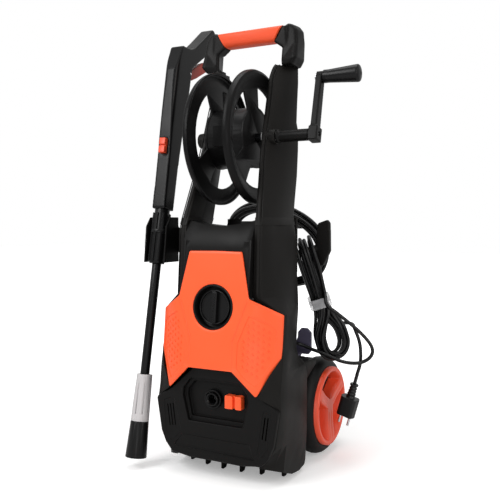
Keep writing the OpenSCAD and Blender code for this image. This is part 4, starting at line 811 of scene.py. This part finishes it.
# the column's outline where its belt goes round: height, then half width or a point
BELT_LOW, BELT_HIGH, BELT_PROUD = 466.3, 480.5, 0.7
BELT_WIDTHS = [(467, 71.5, 85.5), (609, 58, 68), (741, 53.5, 62.5), (770, 55, 64)]
BELT_REAR = [(467, 99, -106), (481, 96, -104), (520, 97, -98), (560, 98.5, -92)]
BELT_INNER = [(467, 86, -104), (481, 82, -103), (609, 72, -82)]
BELT_BACK = [(467, 71, -174), (609, 58, -124)]


def belt_ring(z, d):
    """The column's outline at height z, moved outwards by d."""
    inner_x, outer_x = soft_lookup(z, BELT_WIDTHS, 0.5)
    rear, inner, back = (lookup(z, rows) for rows in (BELT_REAR, BELT_INNER, BELT_BACK))
    front = (outer_x, strip_y(z) + 1.5)
    middle = ((front[0] + rear[0]) / 2 + 3.5, (front[1] + rear[1]) / 2 - 2)
    ring = rounded([(inner_x, strip_y(z)), front, middle, rear, inner, back], [1.5, 3, 0, 6, 5, 0], 3)
    return inset(ring, -d) if d else ring


def make_belt(name, side):
    """A low raised belt round the foot of a column."""
    work = bmesh.new()
    low, high, proud = BELT_LOW, BELT_HIGH, BELT_PROUD
    steps = ((low, -0.6), (low, proud * 0.6), (low + 0.5, proud),
             (high - 0.5, proud), (high, proud * 0.6), (high, -0.6))
    lofted(work, [[(side * x, y, z) for x, y in belt_ring(z, d)] for z, d in steps])
    return finished(name, work, 30, merge=False)


for side, label in SIDES:
    for mesh, node in ((make_trim("shell_trim_" + label, SHELL_TRIM, side), "side_shell_"),
                       (make_trim("column_trim_" + label, COLUMN_TRIM, side), "column_"),
                       (make_belt("column_belt_" + label, side), "column_")):
        new_piece(mesh, node + label, replaces=False)


# ---- wheel caps: thin rim, dished wall and three fluted spokes ----
AXLE_Z = 98.0
WHEEL_IN = 1000 * Vector(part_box("wheel_right")[0]).x + MIDDLE.x + 4     # inner side of the wheel
CAP_R, CAP_FACE, CAP_BACK, DISH_DEEP = 79.0, 43.0, 18.3, 21.5
SPOKES = [(-math.pi / 2, 14.0), (math.radians(30), 9.0), (math.radians(150), 9.0)]     # way and half width
DISH_OUT, RIM_IN, HUB_R = 70.5, 72.0, 13.0
WINDOW_FROM, WINDOW_TO, WINDOW_EDGE = 35, 145, 6.5     # degrees, and how deep inside its dish it opens
# a spoke's flutes: height, distance from the spoke's middle, width, where they start and over what length
WIDE_FLUTES, NARROW_FLUTES = (1.3, 6.5, 1.9, 4, 14), (0.6, 5.5, 1.8, 12, 12)


def cap_height(r, a):
    """Height of the cap's face over the wheel's inner side, and how deep inside a dish the point lies."""
    u, v = r * math.cos(a), r * math.sin(a)
    edge = DISH_OUT - r
    flute = 0.0
    for way, half in SPOKES:
        along = u * math.cos(way) + v * math.sin(way)
        aside = abs(-u * math.sin(way) + v * math.cos(way))
        if along > -half:
            edge = min(edge, aside - half - 0.06 * max(0, along - 40))
            if half > 10 or aside < half:
                high, off, wide, start, eased = WIDE_FLUTES if half > 10 else NARROW_FLUTES
                ends = smooth_step((along - start) / eased) * smooth_step((71 - along) / 8)
                flute = high * math.exp(-((aside - off) / wide) ** 2) * ends
    edge = min(edge, (r - HUB_R) * 1.2)
    face = CAP_FACE - 3.2 * smooth_step((RIM_IN - r) / 46)
    if r > RIM_IN:
        face += 0.9 * math.sin(math.pi * min(1.0, (r - RIM_IN) / 7.0)) - 1.6 * smooth_step((r - 77) / 2.0)
    sink = DISH_DEEP * smooth_step(edge / 8.0) * (1 - 0.22 * smooth_step((edge - 8) / 16))
    return face + flute - sink, edge


def make_cap(name, side):
    """The cap as one shell; the upper window is open, the two lower dishes are closed."""
    work = bmesh.new()
    radii = [2, 5, 8, 11, 14] + [14 + 1.28 * k for k in range(1, 45)] + [71.5, 72.4, 73.6, 75, 76.4, 77.6, 78.5, CAP_R]
    steps = 180
    turns = [2 * math.pi * k / steps for k in range(steps)]

    def put(r, a, h):
        return work.verts.new((side * (WHEEL_IN + h), r * math.cos(a), AXLE_Z + r * math.sin(a)))

    cells = [[cap_height(r, a) for a in turns] for r in radii]
    front = [[put(r, a, c[0]) for a, c in zip(turns, row)] for r, row in zip(radii, cells)]
    rear = [[put(r, a, CAP_BACK) for a in turns] for r in radii]
    crown, pin = put(0, 0, cap_height(0, 0)[0]), put(0, 0, CAP_BACK)
    below = dict(zip([v for row in front for v in row], [v for row in rear for v in row]))
    for k in range(steps):
        m = (k + 1) % steps
        work.faces.new((crown, front[0][k], front[0][m]))
        work.faces.new((pin, rear[0][m], rear[0][k]))
        for i in range(len(radii) - 1):
            quad = [(i, k), (i + 1, k), (i + 1, m), (i, m)]
            if WINDOW_FROM < 360 * k / steps < WINDOW_TO and min(cells[p][q][1] for p, q in quad) > WINDOW_EDGE:
                continue
            work.faces.new([front[p][q] for p, q in quad])
            work.faces.new([rear[p][q] for p, q in reversed(quad)])
    rimmed(work, below)
    return finished(name, work, 50, merge=False)


for side, label in SIDES:
    new_piece(make_cap("wheel_cap_dished_" + label, side), "wheel_cap_" + label)

# ---- pieces that keep the shape of their solids, with moulded edges ----
REPLACED = {"front_panel", "switch_knob", "front_frame", "outlet_socket", "outlet_latch", "wheel_cap_left",
            "wheel_cap_right", "power_lead", "cord_hank", "plug_lead", "hose_coil", *SOFT}
for node in SLOT_OF:
    if node not in REPLACED:
        rounded_copy(node)


# ---- power cord and hose ----
CORD_D, HOSE_D = 7.0, 8.4
COARSE_STEPS, FINE_STEPS = 24, 72     # points a turn of the wound lines
CLOSEST = 0.8     # least distance between two points of a cord's curve

# the hank hangs from the upper hook and is drawn in where it is tied
HANK_TOP = Vector((88, -56, 440))
HANK_BOTTOM = Vector((145, 2, 195))
HANK_UP = unit(HANK_TOP - HANK_BOTTOM)
SIDEWAYS = Vector((0.888, 0.46, 0))
HANK_RIGHT = unit(SIDEWAYS - SIDEWAYS.dot(HANK_UP) * HANK_UP)
HANK_AWAY = HANK_UP.cross(HANK_RIGHT)
HANK_LONG = (HANK_TOP - HANK_BOTTOM).length
FOLD_TOP, FOLD_BOTTOM, WAIST_AT = 33.0, 36.0, 0.48
HANK_STEP, HANK_TURNS, HANK_START = 8.2, 7.5, -0.2
FOLD_PART, RUN_PART = 0.11, 0.28     # shares of a turn: half a fold, and a straight run
HANK_SWING, HANK_SPREAD = 62, 1.15     # degrees that the lower loops turn, and how the upper ones open


def fold_in(t):
    """How many steps inwards a turn lies: out, in, and out again over four turns."""
    s = (t + 0.25) % 4
    return s if s < 2 else 4 - s


def layer_at(t):
    """The layer, 0 to 3, with an eased change from one to the next."""
    s = t + 0.25
    n = math.floor(s / 2 + 0.5)
    u = (s - 2 * n) / 0.5
    return 0 if n < 1 else 3 if n > 3 else n - 1 + smooth_step((u + 1) / 2)


def hank_point(t):
    """A point of the hank after t turns, which run down one side and up the other."""
    f = t - math.floor(t)
    inwards = fold_in(t) * HANK_STEP
    rt, rb = FOLD_TOP - inwards, FOLD_BOTTOM - inwards
    span = HANK_LONG - FOLD_TOP - FOLD_BOTTOM
    turn_t = math.radians((f if f < 0.5 else f - 1) / FOLD_PART * 90)
    turn_b = math.radians((f - 0.5) / FOLD_PART * 90)
    run = ((f if f < 0.5 else 1 - f) - FOLD_PART) / RUN_PART
    if min(f, 1 - f) < FOLD_PART:
        along, width = FOLD_BOTTOM + span + rt * math.cos(turn_t), rt * math.sin(turn_t)
    elif abs(f - 0.5) < FOLD_PART:
        along, width = FOLD_BOTTOM - rb * math.cos(turn_b), -rb * math.sin(turn_b)
    else:
        along = FOLD_BOTTOM + span * (1 - run)
        edge, reach = (rt, 0.36) if along / HANK_LONG > WAIST_AT else (rb, 0.28)
        waist = 2.2 * HANK_STEP - inwards
        opened = smooth_step(abs(along / HANK_LONG - WAIST_AT) / reach)
        width = (1 if f < 0.5 else -1) * mix(waist, edge, opened)
    h = along / HANK_LONG
    above = smooth_step((h - WAIST_AT) / 0.3)
    swing = math.radians(90 - HANK_SWING * smooth_step((0.5 - h) / 0.32))
    lay = (layer_at(t) - 1.5) * HANK_STEP * 1.06 * mix(1, HANK_SPREAD, above)
    fan = -2 * (fold_in(t) - 1) * above
    across = width * math.cos(swing) - lay * math.sin(swing) + fan
    deep = width * math.sin(swing) + lay * math.cos(swing)
    return HANK_BOTTOM + along * HANK_UP + across * HANK_RIGHT + deep * HANK_AWAY


def stations(point, start, turns, steps):
    """Points of a wound line from its start over its turns."""
    return [point(start + i / steps) for i in range(int(steps * turns) + 1)]


def straight_ends(line, d):
    """The line with a straight step of length d added at each end."""
    return [line[0] + d * unit(line[0] - line[1])] + line + [line[-1] + d * unit(line[-1] - line[-2])]


hank_coarse = straight_ends(stations(hank_point, HANK_START, HANK_TURNS, COARSE_STEPS), CORD_D)
hank_fine = stations(hank_point, HANK_START, HANK_TURNS, FINE_STEPS)
LEAD_ROUTE = [(78, -71, 232), (78, -63, 231), (82, -52, 229), (92, -46, 225), (108, -44, 219), (125, -42, 214),
              (145, -40, 207), (165, -38, 200), (185, -35, 197), (205, -32, 199), (221, -30, 208), (228, -29, 220),
              (226, -30, 233), (216, -34, 248), (200, -40, 265), (182, -47, 281), (163, -54, 297), (146, -61, 312)]
PLUG_ROUTE = [(110, 22, 266), (124, 38, 262), (148, 42, 263), (170, 22, 265), (185, -8, 260), (198, -20, 240),
              (202, -22, 220), (201, -21, 195), (195, -20, 174)]
PLUG_AT = Vector((189, -19, 153))
PLUG_TILT = math.radians(16)
PLUG_UP = Vector((math.sin(PLUG_TILT), 0, math.cos(PLUG_TILT)))
lead_end, lead_way = hank_coarse[0], unit(hank_coarse[1] - hank_coarse[0])
hank_end, hank_way = hank_coarse[-1], unit(hank_coarse[-1] - hank_coarse[-2])
lead_line = spline_through(LEAD_ROUTE + [lead_end - 14 * lead_way], 6) + [lead_end - 7 * lead_way, lead_end]
plug_line = ([hank_end, hank_end + 7 * hank_way] + spline_through([hank_end + 14 * hank_way] + PLUG_ROUTE, 6)
             + [PLUG_AT + 8 * PLUG_UP, PLUG_AT])

HOSE_MID = Vector((0, 14, 426))
HOSE_A, HOSE_B, HOSE_TILT = 124.0, 82.0, math.radians(-18)
HOSE_START, HOSE_TURNS, HOSE_STEP = 0.35, 6.73, 9.25
HOSE_LAYERS, HOSE_PARTS, HOSE_BOXY = (1.75, 3.75, 5.75), 1.7, 0.92     # new layers, its ends' way off, squarer turns


def hose_leave(t):
    """How far the hose's two ends leave their layers."""
    return HOSE_PARTS * (smooth_step(1 - (HOSE_START + HOSE_TURNS - t) / 0.3) - smooth_step(1 - (t - HOSE_START) / 0.3))


def hose_point(t):
    """A point of the hose after t turns round its long coil."""
    s = t % 4
    inwards = (s if s < 2 else 4 - s) * HOSE_STEP
    layer = sum(smooth_step((t - change) / 0.5) for change in HOSE_LAYERS)
    c, s = math.cos(math.radians(360 * t + 90)), math.sin(math.radians(360 * t + 90))
    u = (HOSE_A - inwards) * math.copysign(abs(c) ** HOSE_BOXY, c)
    v = (HOSE_B - inwards) * math.copysign(abs(s) ** HOSE_BOXY, s)
    return HOSE_MID + Vector((u * math.cos(HOSE_TILT) - v * math.sin(HOSE_TILT),
                              (layer - 1.5 + hose_leave(t)) * HOSE_STEP,
                              u * math.sin(HOSE_TILT) + v * math.cos(HOSE_TILT)))


hose_line = straight_ends(stations(hose_point, HOSE_START, HOSE_TURNS, FINE_STEPS), HOSE_D)


def cord_curve(name, line, diameter, replaced):
    """A cord as one smooth round curve through its route, and its length in metres."""
    data = bpy.data.curves.new(name, "CURVE")
    data.dimensions = "3D"
    kept = [line[0]]
    for p in line[1:]:
        if (p - kept[-1]).length > CLOSEST:
            kept.append(p)
    spline = data.splines.new("POLY")
    spline.points.add(len(kept) - 1)
    for point, p in zip(spline.points, kept):
        point.co = (*at(*p), 1.0)
    data.bevel_depth = diameter / 2 * MM
    data.bevel_resolution = 3
    data.use_fill_caps = True
    data.materials.append(FINISH["cord_black"])
    cord = placed(name, data)
    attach(cord, "body")
    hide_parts(*replaced)
    length = sum((a - b).length for a, b in zip(kept, kept[1:]))
    return cord, length * MM


power_cord, power_length = cord_curve("power_cord", lead_line + hank_fine + plug_line, CORD_D,
                                      ["power_lead", "cord_hank", "plug_lead"])
hose, hose_length = cord_curve("pressure_hose", hose_line[::-1], HOSE_D, ["hose_coil"])

# ---- light, floor and camera ----
LENS, SENSOR = 48.84, 36.0
CAMERA_AT = (616.5, -1293.5, 472.5)
TURN, PITCH = math.radians(27.38), math.radians(2.37)
WORLD_LEVEL, WORLD_GLOSS = 0.36, 0.55     # the world's light, and how bright gloss sees it
FLOOR_NEAR, FLOOR_FAR, FLOOR_GLOW = 0.35, 1.6, 0.30     # metres over which the floor turns plain white
FLOOR_HALF = 9

camera_data = bpy.data.cameras.new("camera")
camera_data.lens = LENS
camera_data.sensor_width = SENSOR
camera = placed("camera", camera_data)
look = Vector((-math.sin(TURN) * math.cos(PITCH), math.cos(TURN) * math.cos(PITCH), -math.sin(PITCH)))
camera.location = at(*CAMERA_AT)
camera.rotation_euler = look.to_track_quat("-Z", "Y").to_euler()
bpy.context.scene.camera = camera


def softbox(name, place, aim_high, width, height, power, colour=(1, 1, 1)):
    """A rectangular lamp at place that looks at the point aim_high over the middle of the floor."""
    data = bpy.data.lights.new(name, "AREA")
    data.shape = "RECTANGLE"
    data.size, data.size_y = width, height
    data.energy = power
    data.color = colour
    lamp = placed(name, data)
    lamp.location = place
    lamp.rotation_euler = (Vector((0, 0, aim_high)) - Vector(place)).to_track_quat("-Z", "Y").to_euler()


softbox("key", (-1.1, -2.0, 1.9), 0.4, 1.4, 1.4, 46)
softbox("side", (2.3, -0.9, 1.3), 0.4, 0.9, 1.8, 22, (1.0, 0.96, 0.92))
softbox("top", (0.1, 0.1, 2.6), 0.4, 1.6, 1.6, 26)
softbox("front", (0.9, -2.6, 0.7), 0.3, 1.2, 1.2, 10)


def combined(tree, operation, first, second):
    return add(tree, "ShaderNodeMath", {0: first, 1: second}, operation=operation)[0]


def make_world():
    """Soft light all round that the camera sees as plain white."""
    world = bpy.data.worlds.new("studio")
    world.use_nodes = True
    tree = world.node_tree
    ray = add(tree, "ShaderNodeLightPath", {})
    seen = combined(tree, "MAXIMUM", ray["Is Camera Ray"], ray["Is Transmission Ray"])
    shiny = combined(tree, "MULTIPLY", ray["Is Glossy Ray"], WORLD_GLOSS)
    level = remap(tree, combined(tree, "MAXIMUM", seen, shiny), WORLD_LEVEL, 1.0, 0.0, 1.0)
    feed(tree, tree.nodes["Background"].inputs, {"Strength": level, "Color": (1, 1, 1, 1)})
    return world


def make_floor():
    """A white floor that keeps the shadow near the machine and fades into the background."""
    mesh = bpy.data.meshes.new("floor")
    mesh.from_pydata([(x * FLOOR_HALF, y * FLOOR_HALF, 0) for x, y in ((-1, -1), (1, -1), (1, 1), (-1, 1))], [],
                     [(0, 1, 2, 3)])
    material, tree, shader, place = material_of("floor_white")
    away = add(tree, "ShaderNodeVectorMath", {0: place}, operation="LENGTH")["Value"]
    fade = remap(tree, away, FLOOR_GLOW, 1.0, FLOOR_NEAR, FLOOR_FAR, interpolation_type="SMOOTHSTEP")
    camera_ray = add(tree, "ShaderNodeLightPath", {})["Is Camera Ray"]
    feed(tree, shader, {"Base Color": (0.90, 0.90, 0.90, 1), "Roughness": 0.8, "Specular IOR Level": 0.1,
                        "Emission Color": (1, 1, 1, 1),
                        "Emission Strength": combined(tree, "MULTIPLY", camera_ray, fade)})
    mesh.materials.append(material)
    return placed("floor", mesh)


bpy.context.scene.world = make_world()
make_floor()

bpy.context.scene.view_settings.view_transform = "Standard"
